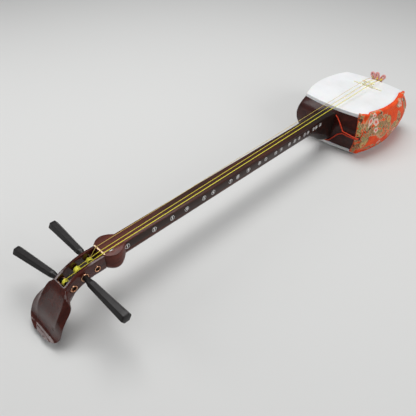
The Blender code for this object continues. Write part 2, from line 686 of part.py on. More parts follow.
def make_cover():
    rings = []
    for side, u in cover_stations():
        lap = COVER_LAP if side == "near" else 0.0005
        rings.append([wall_point(side, u, offset, z) for offset, z in cover_profile(lap)])
    cover = add_object("cloth_cover", loft(rings), smooth_angle=60.0)
    for sign in (-1, 1):
        centre, axis = eyelet_place(sign)
        rows = [(-0.02, EYELET_RADIUS + GAP, 0.0), (0.02, EYELET_RADIUS + GAP, 0.0)]
        boolean(cover, "DIFFERENCE", loft(turned(rows, centre, axis, sides=16)))
    paint(cover, (0.76, 0.13, 0.05), 0.7)


def eyelet_place(sign):
    """Centre of an eyelet in the cover's head-side (-1) or tail-side (1) flap, and its outward axis."""
    offset = belly(EYELET_Z) + COVER_GAP + COVER_THICKNESS / 2
    side = "head" if sign < 0 else "tail"
    u = -(1 - 0.45 * COVER_FLAP / CORNER_Y)
    return Vector(wall_point(side, u, offset, EYELET_Z)), Vector((sign, 0.0, 0.0))


def make_eyelets():
    for sign, name in ((-1, "head"), (1, "tail")):
        centre, axis = eyelet_place(sign)
        rows = [(-0.0012, 0.0018), (-0.0012, EYELET_RADIUS), (0.0022, EYELET_RADIUS), (0.0026, EYELET_RADIUS + 0.0010),
                (0.0034, EYELET_RADIUS + 0.0008), (0.0036, 0.0024), (0.0026, 0.0018)]
        bm = loft(turned([(a, r, 0.0) for a, r in rows], centre, axis, sides=14), closed=True)
        paint(add_object(f"cover_eyelet_{name}", bm), (0.03, 0.028, 0.025), 0.35, 1.0)


def cord_wall_x(y, z, extra=0.0):
    """x of a cord's centre where it lies on the body's head-side wall."""
    u = y / (CORNER_Y + belly(z))
    return -(CORNER_X + BULGE_ENDS * (1 - u * u) + belly(z) + CORD_RADIUS + 2 * GAP + extra)


def make_cover_cords():
    """Elastic cords: from each eyelet to a loop round the neck's root, and to one round the end pin."""
    away = NECK_HALF_WIDTH + CORD_RADIUS + 3 * GAP
    over = neck_top(-0.1025) - GROOVE_DEPTH + CORD_RADIUS + GAP
    under = ROOT_BOTTOM - CORD_RADIUS - 3 * GAP
    start, _ = eyelet_place(-1)

    def on_wall(y, z, extra=0.0):
        return (cord_wall_x(y, z, extra), y, z)

    lift = 0.0045
    route = [
        (start.x - 0.0060, start.y + 0.0006, EYELET_Z + 0.0012),
        (start.x - 0.0068, start.y + 0.0060, EYELET_Z + 0.0012),
        on_wall(-0.0600, 0.0520, 0.0024),
        on_wall(-0.0440, 0.0535, 0.0004),
        on_wall(-0.0310, 0.0640),
        on_wall(-0.0210, 0.0765),
        on_wall(-away, over - 0.0020),
        (-0.1025, -0.0120, over),
        (-0.1025, 0.0120, over),
        on_wall(away, over - 0.0020),
        on_wall(away + 0.0016, 0.0600),
        on_wall(away + 0.0008, 0.0300, 0.0004),
        on_wall(0.0080, under - 0.0006, 0.0004),
        on_wall(-0.0080, under - 0.0006, 0.0004),
        on_wall(-away - 0.0030, 0.0270, 0.0004),
        on_wall(-0.0300, 0.0400),
        on_wall(-0.0440, 0.0535 - lift, 0.0004),
        on_wall(-0.0600, 0.0520 - lift, 0.0024),
        (start.x - 0.0068, start.y + 0.0060, EYELET_Z - 0.0014),
        (start.x - 0.0060, start.y + 0.0006, EYELET_Z - 0.0014),
    ]
    red = (0.80, 0.10, 0.04)
    cord = add_object("cover_cord_head", loft(tube(smooth_path(route, 4), CORD_RADIUS)), smooth_angle=80.0)
    paint(cord, red, 0.6)
    start, _ = eyelet_place(1)

    middle_z = sum(PIN_Z) / 2
    turn_radius = math.hypot(PIN_HALF_WIDTH, (PIN_Z[1] - PIN_Z[0]) / 2) + CORD_RADIUS + 2 * GAP
    reach = math.hypot(start.y, start.z - middle_z)
    facing = math.atan2(start.z - middle_z, start.y) % (2 * math.pi)
    spread = math.acos(turn_radius / reach)
    turn = []
    for i in range(11):
        a = facing - spread - 2 * (math.pi - spread) * i / 10
        turn.append(Vector((CORD_TURN_X, turn_radius * math.cos(a), middle_z + turn_radius * math.sin(a))))
    ends = []
    for lift, joint in ((0.0014, turn[0]), (-0.0014, turn[-1])):
        near = Vector((start.x + 0.0068, start.y + 0.0060, EYELET_Z + lift))
        ends.append([Vector((start.x + 0.0060, start.y + 0.0006, EYELET_Z + lift)), near,
                     near.lerp(joint, 0.4), near.lerp(joint, 0.75), near.lerp(joint, 0.93)])
    route = ends[0] + turn + ends[1][::-1]
    cord = add_object("cover_cord_tail", loft(tube(smooth_path(route, 4), CORD_RADIUS)), smooth_angle=80.0)
    paint(cord, red, 0.6)


def lean_on_table():
    """Parents every piece to the rest empty, which leans and centres the instrument."""
    rest = bpy.data.objects.new("rest", None)
    bpy.context.scene.collection.objects.link(rest)
    rest.rotation_euler = (0.0, REST_TILT, 0.0)
    rest.location = REST_SHIFT
    for obj in bpy.context.scene.objects:
        if obj is not rest:
            obj.parent = rest


def main():
    clear_scene()
    for side in ("head", "near", "tail", "far"):
        make_stave(side)
    make_skin("front_skin", BODY_DEPTH, -1)
    make_skin("back_skin", 0.0, 1)
    make_neck_pieces()
    make_nut()
    make_strip()
    paint(add_object("sawari_piece", sawari_box(0.0)), (0.75, 0.74, 0.70), 0.3, 1.0)
    make_tenjin()
    make_rings()
    make_pegs()
    make_strings()
    make_bridge()
    make_tailpiece()
    make_cover()
    make_eyelets()
    make_cover_cords()
    lean_on_table()


main()
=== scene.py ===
"""Looks of a three-string Japanese lute (shamisen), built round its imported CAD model.

Its pieces are modelled in the instrument's own frame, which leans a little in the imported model: origin at
the centre of the body's back, +X from head to tail, +Z out of the front skin, -Y the cloth cover's side.
Lengths are in metres.
"""

import json
import math

import bmesh
import bpy
from mathutils import Matrix, Vector, noise


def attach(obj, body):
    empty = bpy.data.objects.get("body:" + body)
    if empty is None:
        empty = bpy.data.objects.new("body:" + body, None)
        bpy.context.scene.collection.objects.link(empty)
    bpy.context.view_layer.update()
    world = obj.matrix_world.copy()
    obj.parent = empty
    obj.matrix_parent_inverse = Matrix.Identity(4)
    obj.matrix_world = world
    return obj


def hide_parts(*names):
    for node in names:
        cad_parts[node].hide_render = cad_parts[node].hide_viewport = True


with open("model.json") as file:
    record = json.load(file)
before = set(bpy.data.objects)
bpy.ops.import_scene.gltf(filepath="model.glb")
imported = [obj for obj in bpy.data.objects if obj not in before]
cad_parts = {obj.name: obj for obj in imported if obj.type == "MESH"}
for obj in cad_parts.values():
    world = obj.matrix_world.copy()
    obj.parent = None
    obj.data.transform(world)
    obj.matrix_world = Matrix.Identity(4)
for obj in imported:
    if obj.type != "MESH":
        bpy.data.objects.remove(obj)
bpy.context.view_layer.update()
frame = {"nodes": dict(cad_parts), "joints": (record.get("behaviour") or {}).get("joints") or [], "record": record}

# ---- The instrument's frame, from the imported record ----

JOINTS = {joint["name"]: joint for joint in frame["joints"]}
ALONG = -Vector(JOINTS["bridge_slide"]["axis"])
UP = Vector(JOINTS["sawari_lift"]["axis"])
INSTRUMENT = Matrix((ALONG, UP.cross(ALONG), UP)).transposed().to_4x4()
INSTRUMENT.translation = Vector(frame["record"]["mounts"][0]["pos_m"])
TO_INSTRUMENT = INSTRUMENT.inverted()


def span(node):
    """Lowest and highest corner of a CAD node in the instrument's frame."""
    points = [TO_INSTRUMENT @ v.co for v in frame["nodes"][node].data.vertices]
    return Vector(map(min, zip(*points))), Vector(map(max, zip(*points)))


# ---- Sizes ----

# Clearance between neighbours, and the distance under which points are one
GAP, TINY = 0.0003, 0.00001
BULGE_ENDS, BULGE_SIDES = 0.0090, 0.0184
BODY_HIGH = span("front_skin")[1]
BODY_DEPTH = BODY_HIGH.z
CORNER_X, CORNER_Y = BODY_HIGH.x - BULGE_ENDS, BODY_HIGH.y - BULGE_SIDES
BELLY, STAVE_THICKNESS = 0.0115, 0.011
SKIN_THICKNESS, SKIN_WRAP = 0.0012, 0.0080

MIDDLE_LOW, MIDDLE_HIGH = span("middle_neck")
NECK_HALF_WIDTH = MIDDLE_HIGH.y
NUT_LOW, NUT_HIGH = span("nut")
NUT_X = 0.5 * (NUT_LOW.x + NUT_HIGH.x)
NECK_TOP_NUT, NECK_TOP_BODY = 0.0840, 0.0885
NECK_SIDE, NECK_DEPTH = 0.0165, 0.0300
LOBE_START, LOBE_END, LOBE_HALF_WIDTH, LOBE_DEPTH = -0.7235, -0.6860, 0.0245, 0.0390
ROOT_START, ROOT_END, ROOT_BOTTOM = -0.205, -0.104, 0.0150
ROOT_SPREAD, ROOT_SPREAD_START = 0.0034, -0.150
GROOVE_X, GROOVE_DEPTH = -0.1062, 0.0090
PIN_HALF_WIDTH, PIN_Z, PIN_END = 0.0062, (0.0560, 0.0690), 0.1250

BOX_BEND_X, BOX_RADIUS, BOX_TURN = -0.7350, 0.1030, math.radians(33.9)
BOX_HALF_WIDTH, BOX_DEPTH, BOX_DEPTH_END = 0.0150, 0.0275, 0.0240
SLOT_HALF_WIDTH, SLOT_START, SLOT_END = 0.0102, -0.7262, -0.7916
# The head's front centreline, outwards and down from the pegbox's end. Past FLARE_PLAIN along it, the tables
# of the head's shape are squeezed to its length. Its end shrinks by END_ROUND as it rounds over END_REACH.
FLARE_CURVE = ((0.0, 0.0), (0.0075, 0.0086), (0.0222, 0.0282), (0.0314, 0.0443), (0.0352, 0.0646),
               (0.0372, 0.0716))
FLARE_PLAIN, END_ROUND, END_REACH = 0.030, 0.24, 0.0018

PEG_LENGTH, PEG_TIP_Y = 0.1285, 0.0143
PEG_TIP_RADIUS, PEG_WALL_RADIUS, PEG_WALL_AT = 0.0026, 0.0042, 0.029
COLLAR_END, COLLAR_RADIUS, HANDLE_START = 0.0420, 0.0052, 0.0480
HANDLE_RADIUS_START, HANDLE_RADIUS_END, HANDLE_ROUND = 0.0066, 0.0088, 0.0030

BRIDGE_LOW, BRIDGE_HIGH = span("bridge")
BRIDGE_X, BRIDGE_Y = 0.5 * (BRIDGE_LOW.x + BRIDGE_HIGH.x), 0.5 * (BRIDGE_LOW.y + BRIDGE_HIGH.y)
LOOP_X, LOOP_Z, STEM_RADIUS = 0.1010, 0.1010, 0.0019

COVER_THICKNESS, COVER_GAP, COVER_FLAP, COVER_LAP, COVER_BOTTOM = 0.0030, 0.0006, 0.0130, 0.0060, 0.0040
FLAP_LAP_LOSS, FLAP_HEIGHT_LOSS = 0.0014, 0.045
EYELET_Z, EYELET_RADIUS = 0.0500, 0.0030
CORD_RADIUS, CORD_TURN_X, ROOT_CORD_X = 0.0011, 0.1206, -0.1025
BRAID_RADIUS = 1.12 * CORD_RADIUS

# name, radius, y at the nut, y at the bridge, y at the tail, lean of the loose end, lean of the silk loop
STRINGS = (
    ("string_1_thick", 0.0006, -0.0106, -0.0150, -0.0135, -1.0, -34),
    ("string_2_middle", 0.0005, -0.0035, -0.0042, -0.0030, 0.3, 22),
    ("string_3_thin", 0.0004, 0.0076, 0.0066, 0.0085, 0.9, 44),
)
# Their coils on the pegs: the peg's name, the string's radius as wound, outer radius, half length, layers
COILS = (
    ("rear", 0.0007, 0.0056, 0.0034, 2),
    ("middle", 0.0006, 0.0056, 0.0044, 2),
    ("front", 0.00045, 0.0050, 0.0036, 1),
)

# ---- Mesh tools ----


def smoothstep(t):
    t = min(max(t, 0.0), 1.0)
    return t * t * (3 - 2 * t)


def between(table, at):
    """Reads a value from rows of (position, value) with a smooth curve through the rows."""
    slopes = []
    for i in range(len(table)):
        before, after = table[max(i - 1, 0)], table[min(i + 1, len(table) - 1)]
        slopes.append((after[1] - before[1]) / (after[0] - before[0]))
    for i, ((a, value_a), (b, value_b)) in enumerate(zip(table, table[1:])):
        if at <= b:
            t, width = max(at - a, 0.0) / (b - a), b - a
            return ((2 * t**3 - 3 * t**2 + 1) * value_a + (t**3 - 2 * t**2 + t) * width * slopes[i]
                    + (3 * t**2 - 2 * t**3) * value_b + (t**3 - t**2) * width * slopes[i + 1])
    return table[-1][1]


def smooth_path(points, steps):
    """Points read from a Catmull-Rom curve through the given ones."""
    points = [Vector(p) for p in points]
    padded = [2 * points[0] - points[1], *points, 2 * points[-1] - points[-2]]
    path = []
    for i in range(len(points) - 1):
        a, b, c, d = padded[i : i + 4]
        for k in range(steps):
            t = k / steps
            path.append(0.5 * (2 * b + (c - a) * t + (2 * a - 5 * b + 4 * c - d) * t * t
                               + (3 * b - a - 3 * c + d) * t**3))
    return [*path, points[-1]]


def loft(rings, caps=True, joined=False, bm=None):
    """Adds a skin through rings of equal point count, with a UV map in metres: u along, v round."""
    bm = bm or bmesh.new()
    uv = bm.loops.layers.uv.get("metres") or bm.loops.layers.uv.new("metres")
    rings = [[Vector(p) for p in ring] for ring in rings]
    count = len(rings[0])
    rows = [[bm.verts.new(p) for p in ring] for ring in rings]
    order = list(range(len(rings))) + ([0] if joined else [])
    along = 0.0
    rounds = []
    for ring in rings:
        total = [0.0]
        for j in range(count):
            total.append(total[-1] + (ring[(j + 1) % count] - ring[j]).length)
        rounds.append(total)
    for a, b in zip(order, order[1:]):
        step = sum((p - q).length for p, q in zip(rings[a], rings[b])) / count
        for j in range(count):
            k = (j + 1) % count
            face = bm.faces.new((rows[a][j], rows[a][k], rows[b][k], rows[b][j]))
            corners = ((along, rounds[a][j]), (along, rounds[a][j + 1]),
                       (along + step, rounds[b][j + 1]), (along + step, rounds[b][j]))
            for loop, corner in zip(face.loops, corners):
                loop[uv].uv = corner
        along += step
    if caps and not joined:
        bm.faces.new(rows[0][::-1])
        bm.faces.new(rows[-1])
    return bm


def arc(steps, start=0, end=90):
    """Cosine and sine of the angles from start to end, in degrees."""
    turns = [math.radians(start + (end - start) * i / steps) for i in range(steps + 1)]
    return [(math.cos(a), math.sin(a)) for a in turns]


def circle(sides):
    turns = [2 * math.pi * k / sides for k in range(sides)]
    return [(math.cos(a), math.sin(a)) for a in turns]


def tube(points, radius, sides=12):
    """Rings of a round bar along the points, carried without twist. The radius is one number or a list."""
    points = [Vector(p) for p in points]
    radii = radius if isinstance(radius, list) else [radius] * len(points)
    across = (points[1] - points[0]).cross(Vector((0.31, 0.12, 1.0))).normalized()
    rings = []
    for i, point in enumerate(points):
        ahead = (points[min(i + 1, len(points) - 1)] - points[max(i - 1, 0)]).normalized()
        across = (across - ahead * across.dot(ahead)).normalized()
        up = across.cross(ahead)
        rings.append([point + radii[i] * (c * across + s * up) for c, s in circle(sides)])
    return rings


def closed_tube(points, radius, sides):
    """The same round a closed line, whose last point meets its first."""
    rings = []
    count = len(points)
    points = [Vector(p) for p in points]
    normal = sum(((a - points[0]).cross(b - points[0]) for a, b in zip(points, points[1:])), Vector())
    normal.normalize()
    for i, point in enumerate(points):
        ahead = (points[(i + 1) % count] - points[i - 1]).normalized()
        out = ahead.cross(normal).normalized()
        rings.append([point + radius * (c * out + s * normal) for c, s in circle(sides)])
    return rings


def turned(profile, centre, axis, sides=40):
    """Rings of a turned solid. Rows are (distance along the axis, radius, share of a rounded hexagon)."""
    centre, axis = Vector(centre), Vector(axis).normalized()
    side = axis.cross(Vector((0.0, 0.0, 1.0))).normalized()
    up = side.cross(axis)
    rings = []
    for row in profile:
        along, radius, flat = (*row, 0.0)[:3]
        ring = []
        for k in range(sides):
            a = 2 * math.pi * k / sides
            hexagon = sum(abs(math.cos(a - math.radians(30 + 60 * j))) ** 30 for j in range(3)) ** (-1 / 30)
            r = radius * (1 + flat * (0.875 * hexagon - 1))
            ring.append(centre + axis * along + r * (math.cos(a) * side + math.sin(a) * up))
        rings.append(ring)
    return rings


def slab(rows, half_width):
    """A solid from one side of the instrument to the other, of one outline of (x, z) rows."""
    return loft([[(x, y, z) for x, z in rows] for y in (-half_width, half_width)])


def box(low, high):
    corners = [(low[1], low[2]), (high[1], low[2]), (high[1], high[2]), (low[1], high[2])]
    return loft([[(x, y, z) for y, z in corners] for x in (low[0], high[0])])


def shade(mesh, angle):
    mesh.shade_smooth()
    mesh.set_sharp_from_angle(angle=math.radians(angle))


def add_object(name, data):
    obj = bpy.data.objects.new(name, data)
    bpy.context.scene.collection.objects.link(obj)
    return obj


def mesh_of(name, bm, angle=40):
    """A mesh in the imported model's frame from one built in the instrument's."""
    bmesh.ops.recalc_face_normals(bm, faces=bm.faces)
    mesh = bpy.data.meshes.new(name)
    bm.to_mesh(mesh)
    bm.free()
    mesh.transform(INSTRUMENT)
    shade(mesh, angle)
    return mesh


def piece(name, bm, material, body="instrument", replaces=(), angle=40):
    """A finished piece of the object: its shape, its material and the body that it rides on."""
    obj = add_object(name, mesh_of(name, bm, angle))
    obj.data.materials.append(material)
    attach(obj, body)
    if replaces:
        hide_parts(*replaces)
    return obj


def apply_modifiers(obj, angle):
    bpy.context.view_layer.update()
    result = bpy.data.meshes.new_from_object(obj.evaluated_get(bpy.context.evaluated_depsgraph_get()))
    obj.modifiers.clear()
    obj.data = result
    shade(result, angle)


def cut(obj, bm, angle=40):
    """Cuts a tool solid from a piece, and keeps the piece a plain mesh."""
    tool = add_object("tool", mesh_of("tool", bm))
    modifier = obj.modifiers.new("tool", "BOOLEAN")
    modifier.operation = "DIFFERENCE"
    modifier.object = tool
    apply_modifiers(obj, angle)
    bpy.data.objects.remove(tool, do_unlink=True)


def soften(obj, width):
    """Rounds a piece's sharp edges for good."""
    modifier = obj.modifiers.new("soft_edges", "BEVEL")
    modifier.width = width
    modifier.segments = 2
    modifier.limit_method = "ANGLE"
    modifier.angle_limit = math.radians(35)
    apply_modifiers(obj, 60)


def weld(obj):
    """Merges points that a cut has left almost together."""
    bm = bmesh.new()
    bm.from_mesh(obj.data)
    bmesh.ops.remove_doubles(bm, verts=bm.verts, dist=TINY)
    bm.to_mesh(obj.data)
    bm.free()


# ---- Materials ----


class Graph:
    """A Principled material, with one short call for each kind of node. Calls return output sockets."""

    def __init__(self, name, **sockets):
        self.material = bpy.data.materials.new(name)
        self.material.use_nodes = True
        self.tree = self.material.node_tree
        self.shader = self.tree.nodes["Principled BSDF"]
        for key, value in sockets.items():
            self.shader.inputs[key.replace("_", " ")].default_value = value

    def add(self, kind, inputs=None, **settings):
        made = self.tree.nodes.new("ShaderNode" + kind)
        for key, value in settings.items():
            setattr(made, key, value)
        for key, value in (inputs or {}).items():
            if isinstance(value, bpy.types.NodeSocket):
                self.tree.links.new(value, made.inputs[key])
            else:
                made.inputs[key].default_value = value
        return made

    def maths(self, operation, *values):
        return self.add("Math", dict(enumerate(values)), operation=operation).outputs[0]

    def times(self, a, b, plus=0.0):
        return self.maths("MULTIPLY_ADD", a, b, plus)

    def ripple(self, value, rate):
        """Waves between 0 and 1: the sine of value x rate, without its sign."""
        return self.maths("ABSOLUTE", self.maths("SINE", self.times(value, rate)))

    def inverse(self, value):
        return self.maths("SUBTRACT", 1.0, value)

    def vector(self, operation, a, b=(0.0, 0.0, 0.0)):
        made = self.add("VectorMath", {0: a, 1: b}, operation=operation)
        return made.outputs["Value" if operation == "LENGTH" else "Vector"]

    def place(self, stretch=(1.0, 1.0, 1.0)):
        """The piece's own coordinates, in metres, stretched."""
        return self.vector("MULTIPLY", self.add("TexCoord").outputs["Object"], stretch)

    def cloth(self, stretch=(1.0, 1.0, 1.0)):
        """The coordinates along and round a piece, in metres, stretched."""
        return self.vector("MULTIPLY", self.add("UVMap", uv_map="metres").outputs["UV"], stretch)

    def noise(self, vector, scale, detail=3.0, rough=0.55, warp=0.0):
        inputs = {"Scale": scale, "Detail": detail, "Roughness": rough, "Distortion": warp}
        return self.add("TexNoise", {"Vector": vector, **inputs}).outputs["Fac"]

    def ramp(self, factor, *stops):
        made = self.add("ValToRGB", {"Fac": factor})
        elements = made.color_ramp.elements
        while len(elements) < len(stops):
            elements.new(0.5)
        for element, (at, colour) in zip(elements, stops):
            element.position = at
            element.color = (*colour, 1.0)
        return made.outputs["Color"]

    def mix(self, factor, a, b):
        made = self.add("Mix", {0: factor}, data_type="RGBA")
        for index, value in ((6, a), (7, b)):
            if isinstance(value, bpy.types.NodeSocket):
                self.tree.links.new(value, made.inputs[index])
            else:
                made.inputs[index].default_value = (*value, 1.0)
        return made.outputs[2]

    def step(self, value, edge, soft):
        """0 where the value is below the edge, 1 above, with a soft change."""
        inputs = {"Value": value, "From Min": edge - soft, "From Max": edge + soft}
        return self.add("MapRange", inputs, interpolation_type="SMOOTHSTEP").outputs[0]

    def finish(self, colour, rough, *bumps):
        """Sets the colour, the roughness and bumps of (height, distance in metres), one over the other."""
        self.tree.links.new(colour, self.shader.inputs["Base Color"])
        self.tree.links.new(rough, self.shader.inputs["Roughness"])
        normal = None
        for height, distance in bumps:
            inputs = {"Height": height, "Distance": distance, "Strength": 1.0}
            if normal:
                inputs["Normal"] = normal
            normal = self.add("Bump", inputs).outputs["Normal"]
        self.tree.links.new(normal, self.shader.inputs["Normal"])
        return self.material


def lacquered_wood(name, dark, light, roughness, coat, grain=1.0, root=False, lobes=False):
    """Fine-grained wood: streaks along the piece, short pores, and a clear gloss over them; on the neck's root, a
    painted shade as well.
    """
    g = Graph(name, Coat_Weight=coat, Coat_Roughness=0.08, Specular_IOR_Level=0.18)
    streaks = g.noise(g.place((9.0, 90.0, 90.0)), 1.6, 5.0, 0.6, 0.6)
    bands = g.noise(g.place((3.0, 30.0, 34.0)), 1.3, 2.0, 0.5, 1.2)
    pores = g.noise(g.place((130.0, 1500.0, 1500.0)), 1.0, 2.0, 0.7)
    tone = g.times(bands, 0.45, g.times(streaks, 0.6))
    middle = tuple(0.5 * (a + b) for a, b in zip(dark, light))
    colour = g.ramp(tone, (0.34, dark), (0.52, middle), (0.70, light))
    colour = g.mix(g.times(g.step(pores, 0.60, 0.05), 0.5 * grain), colour, tuple(0.4 * c for c in dark))

    def along(*ends):
        """Rises from 0 to 1 between two places along the instrument."""
        start, end = ((INSTRUMENT @ Vector((at, 0.0, 0.0))).x for at in ends)
        x = g.add("SeparateXYZ", {0: g.place()}).outputs["X"]
        return g.add("MapRange", {"Value": x, "From Min": start, "From Max": end}).outputs[0]

    if root:
        # Painted shade: towards the body, the root's colour is mixed almost to black, standing in for the shade
        # under the neck's root.
        shadow = along(ROOT_START - 0.060, ROOT_START + 0.040)
        colour = g.mix(g.times(shadow, 0.88), colour, (0.010, 0.006, 0.005))
    if lobes:
        redder = g.vector("MULTIPLY", colour, (1.9, 1.25, 1.1))
        colour = g.mix(along(LOBE_END + 0.10, LOBE_END - 0.01), colour, redder)
    rough = g.times(g.noise(g.place((25.0, 60.0, 60.0)), 1.0), 0.16, roughness - 0.08)
    waves = g.noise(g.place((14.0, 40.0, 40.0)), 1.0)
    return g.finish(colour, rough, (pores, 0.00003 * grain), (waves, 0.00025))


def stretched_skin():
    """White drum skin with faint fibres and cloudy translucency."""
    g = Graph("skin", Specular_IOR_Level=0.35, Subsurface_Weight=0.08, Subsurface_Scale=0.004)
    clouds = g.noise(g.place((16.0, 16.0, 16.0)), 1.0, 4.0, 0.6)
    fibres = g.noise(g.place((700.0, 260.0, 700.0)), 1.0, 3.0, 0.7)
    whites = (0.76, 0.76, 0.76), (0.82, 0.82, 0.83), (0.86, 0.86, 0.87)
    colour = g.ramp(clouds, *zip((0.30, 0.55, 0.75), whites))
    colour = g.mix(g.times(g.step(fibres, 0.62, 0.08), 0.18), colour, (0.70, 0.69, 0.67))
    return g.finish(colour, g.times(clouds, 0.14, 0.40), (fibres, 0.00004), (clouds, 0.0003))


def ebony():
    """Black oiled wood with faint lengthwise pores and a soft sheen."""
    g = Graph("ebony", Specular_IOR_Level=0.28, Coat_Weight=0.10, Coat_Roughness=0.16)
    pores = g.noise(g.cloth((120.0, 1400.0, 1.0)), 1.0, 3.0, 0.65)
    patches = g.noise(g.place((60.0, 60.0, 60.0)), 1.0)
    colour = g.ramp(pores, (0.40, (0.006, 0.005, 0.005)), (0.70, (0.016, 0.013, 0.012)))
    return g.finish(colour, g.times(patches, 0.16, 0.34), (pores, 0.00004))


def metal(name, dark, light, roughness):
    """Polished metal with fine turning scratches and duller patches."""
    g = Graph(name, Metallic=1.0)
    patches = g.noise(g.place((300.0, 300.0, 300.0)), 1.0, 4.0, 0.6)
    scratches = g.noise(g.place((900.0, 90.0, 3000.0)), 1.0, 2.0)
    colour = g.ramp(patches, (0.35, dark), (0.62, light))
    return g.finish(colour, g.times(patches, 0.125, roughness), (scratches, 0.00002))


def twisted(name, dark, light, radius):
    """Yarn twisted round a string: slanting strands with fine fibres."""
    pitch, girth = 0.0016, 2 * math.pi * radius
    g = Graph(name, Sheen_Weight=0.15, Sheen_Roughness=0.4, Specular_IOR_Level=0.5)
    parts = g.add("SeparateXYZ", {0: g.cloth()}).outputs
    slant = g.times(parts["Y"], 3.0 / girth, g.times(parts["X"], 1.0 / pitch))
    strand = g.ripple(slant, math.pi)
    fibres = g.noise(g.cloth((900.0, 9000.0, 1.0)), 1.0, 2.0, 0.6)
    colour = g.ramp(g.times(strand, 0.7, g.times(fibres, 0.3)), (0.15, dark), (0.70, light))
    return g.finish(colour, g.times(fibres, 0.2, 0.32), (strand, 0.00012), (fibres, 0.00003))


def braided(name, dark, light, pitch, radius):
    """A braid: two sets of slanting strands that pass over and under each other."""
    girth = 2 * math.pi * radius
    g = Graph(name, Sheen_Weight=0.15, Sheen_Roughness=0.35, Specular_IOR_Level=0.3)
    parts = g.add("SeparateXYZ", {0: g.cloth()}).outputs
    along, round_ = g.times(parts["X"], 1.0 / pitch), g.times(parts["Y"], 4.0 / girth)
    left, right = (g.ripple(g.maths(side, along, round_), math.pi) for side in ("ADD", "SUBTRACT"))
    strand = g.maths("MAXIMUM", g.times(left, right), g.times(left, 0.55))
    fibres = g.noise(g.cloth((1500.0, 6000.0, 1.0)), 1.0, 2.0, 0.6)
    colour = g.ramp(g.times(strand, 0.75, g.times(fibres, 0.25)), (0.10, dark), (0.75, light))
    return g.finish(colour, g.times(fibres, 0.2, 0.45), (strand, 0.00025), (fibres, 0.00004))


def ivory():
    """Cream bridge material with faint lengthwise streaks."""
    g = Graph("ivory", Subsurface_Weight=0.15, Subsurface_Scale=0.003, Coat_Weight=0.2, Coat_Roughness=0.15)
    streaks = g.noise(g.place((500.0, 60.0, 500.0)), 1.0, 3.0)
    colour = g.ramp(streaks, (0.35, (0.92, 0.86, 0.62)), (0.65, (0.97, 0.94, 0.76)))
    return g.finish(colour, g.times(streaks, 0.15, 0.26), (streaks, 0.00003))


def printed_film(name, colour, roughness):
    """The thin film along the neck, or the ink printed on it, with a trace of orange peel."""
    g = Graph(name, Specular_IOR_Level=0.25, Coat_Weight=0.1, Coat_Roughness=0.12)
    peel = g.noise(g.place((400.0, 400.0, 400.0)), 1.0)
    colour = g.ramp(peel, (0.3, tuple(0.88 * c for c in colour)), (0.7, colour))
    return g.finish(colour, g.times(peel, 0.12, roughness), (peel, 0.000006))


def scattered(g, vector, size, scatter, seed):
    """Cells for one layer of motifs: the vector from the cell's centre in metres, and a random colour."""
    moved = g.vector("ADD", vector, (seed, 1.7 * seed, 0.0))
    inputs = {"Vector": moved, "Scale": 1.0 / size, "Randomness": scatter}
    cells = g.add("TexVoronoi", inputs, voronoi_dimensions="2D", feature="F1")
    local = g.vector("SUBTRACT", moved, cells.outputs["Position"])
    return local, g.add("SeparateColor", {0: cells.outputs["Color"]}).outputs


def petals(g, local, turn, count, radius, wave):
    """Distance from a motif's centre as a share of its petalled edge, and the angle used."""
    parts = g.add("SeparateXYZ", {0: local}).outputs
    angle = g.maths("ADD", g.maths("ARCTAN2", parts["Y"], parts["X"]), turn)
    lobes = g.maths("ABSOLUTE", g.maths("COSINE", g.times(angle, count / 2)))
    edge = g.times(lobes, radius * wave, radius * (1 - wave))
    return g.maths("DIVIDE", g.vector("LENGTH", local), edge), angle


# The cover's motifs, in metres along and round the cloth: centre, then half sizes or radius
LEAF_CLOUDS = (
    (0.046, 0.142, 0.030, 0.028), (0.078, 0.156, 0.022, 0.026), (0.022, 0.166, 0.010, 0.024),
    (0.004, 0.130, 0.010, 0.022), (0.005, 0.186, 0.009, 0.022), (0.122, 0.176, 0.018, 0.018),
    (0.140, 0.158, 0.010, 0.014), (0.152, 0.126, 0.014, 0.010), (0.190, 0.152, 0.010, 0.030),
    (0.180, 0.196, 0.018, 0.008), (0.050, 0.208, 0.018, 0.008), (0.092, 0.212, 0.014, 0.007),
    (0.218, 0.132, 0.010, 0.016), (0.214, 0.184, 0.012, 0.014),
)
PLUM_FLOWERS = (
    (0.033, 0.137, 0.0076), (0.049, 0.141, 0.0080), (0.042, 0.126, 0.0056), (0.050, 0.159, 0.0060),
    (0.152, 0.126, 0.0084), (0.162, 0.132, 0.0066), (0.128, 0.182, 0.0060), (0.197, 0.170, 0.0076),
    (0.078, 0.198, 0.0056), (0.218, 0.158, 0.0076), (0.184, 0.130, 0.0060),
)
GOLD_FLOWERS = (
    (0.0225, 0.181, 0.0112), (0.094, 0.142, 0.0086), (0.132, 0.166, 0.0084), (0.186, 0.188, 0.0092),
    (0.003, 0.154, 0.0072),
)


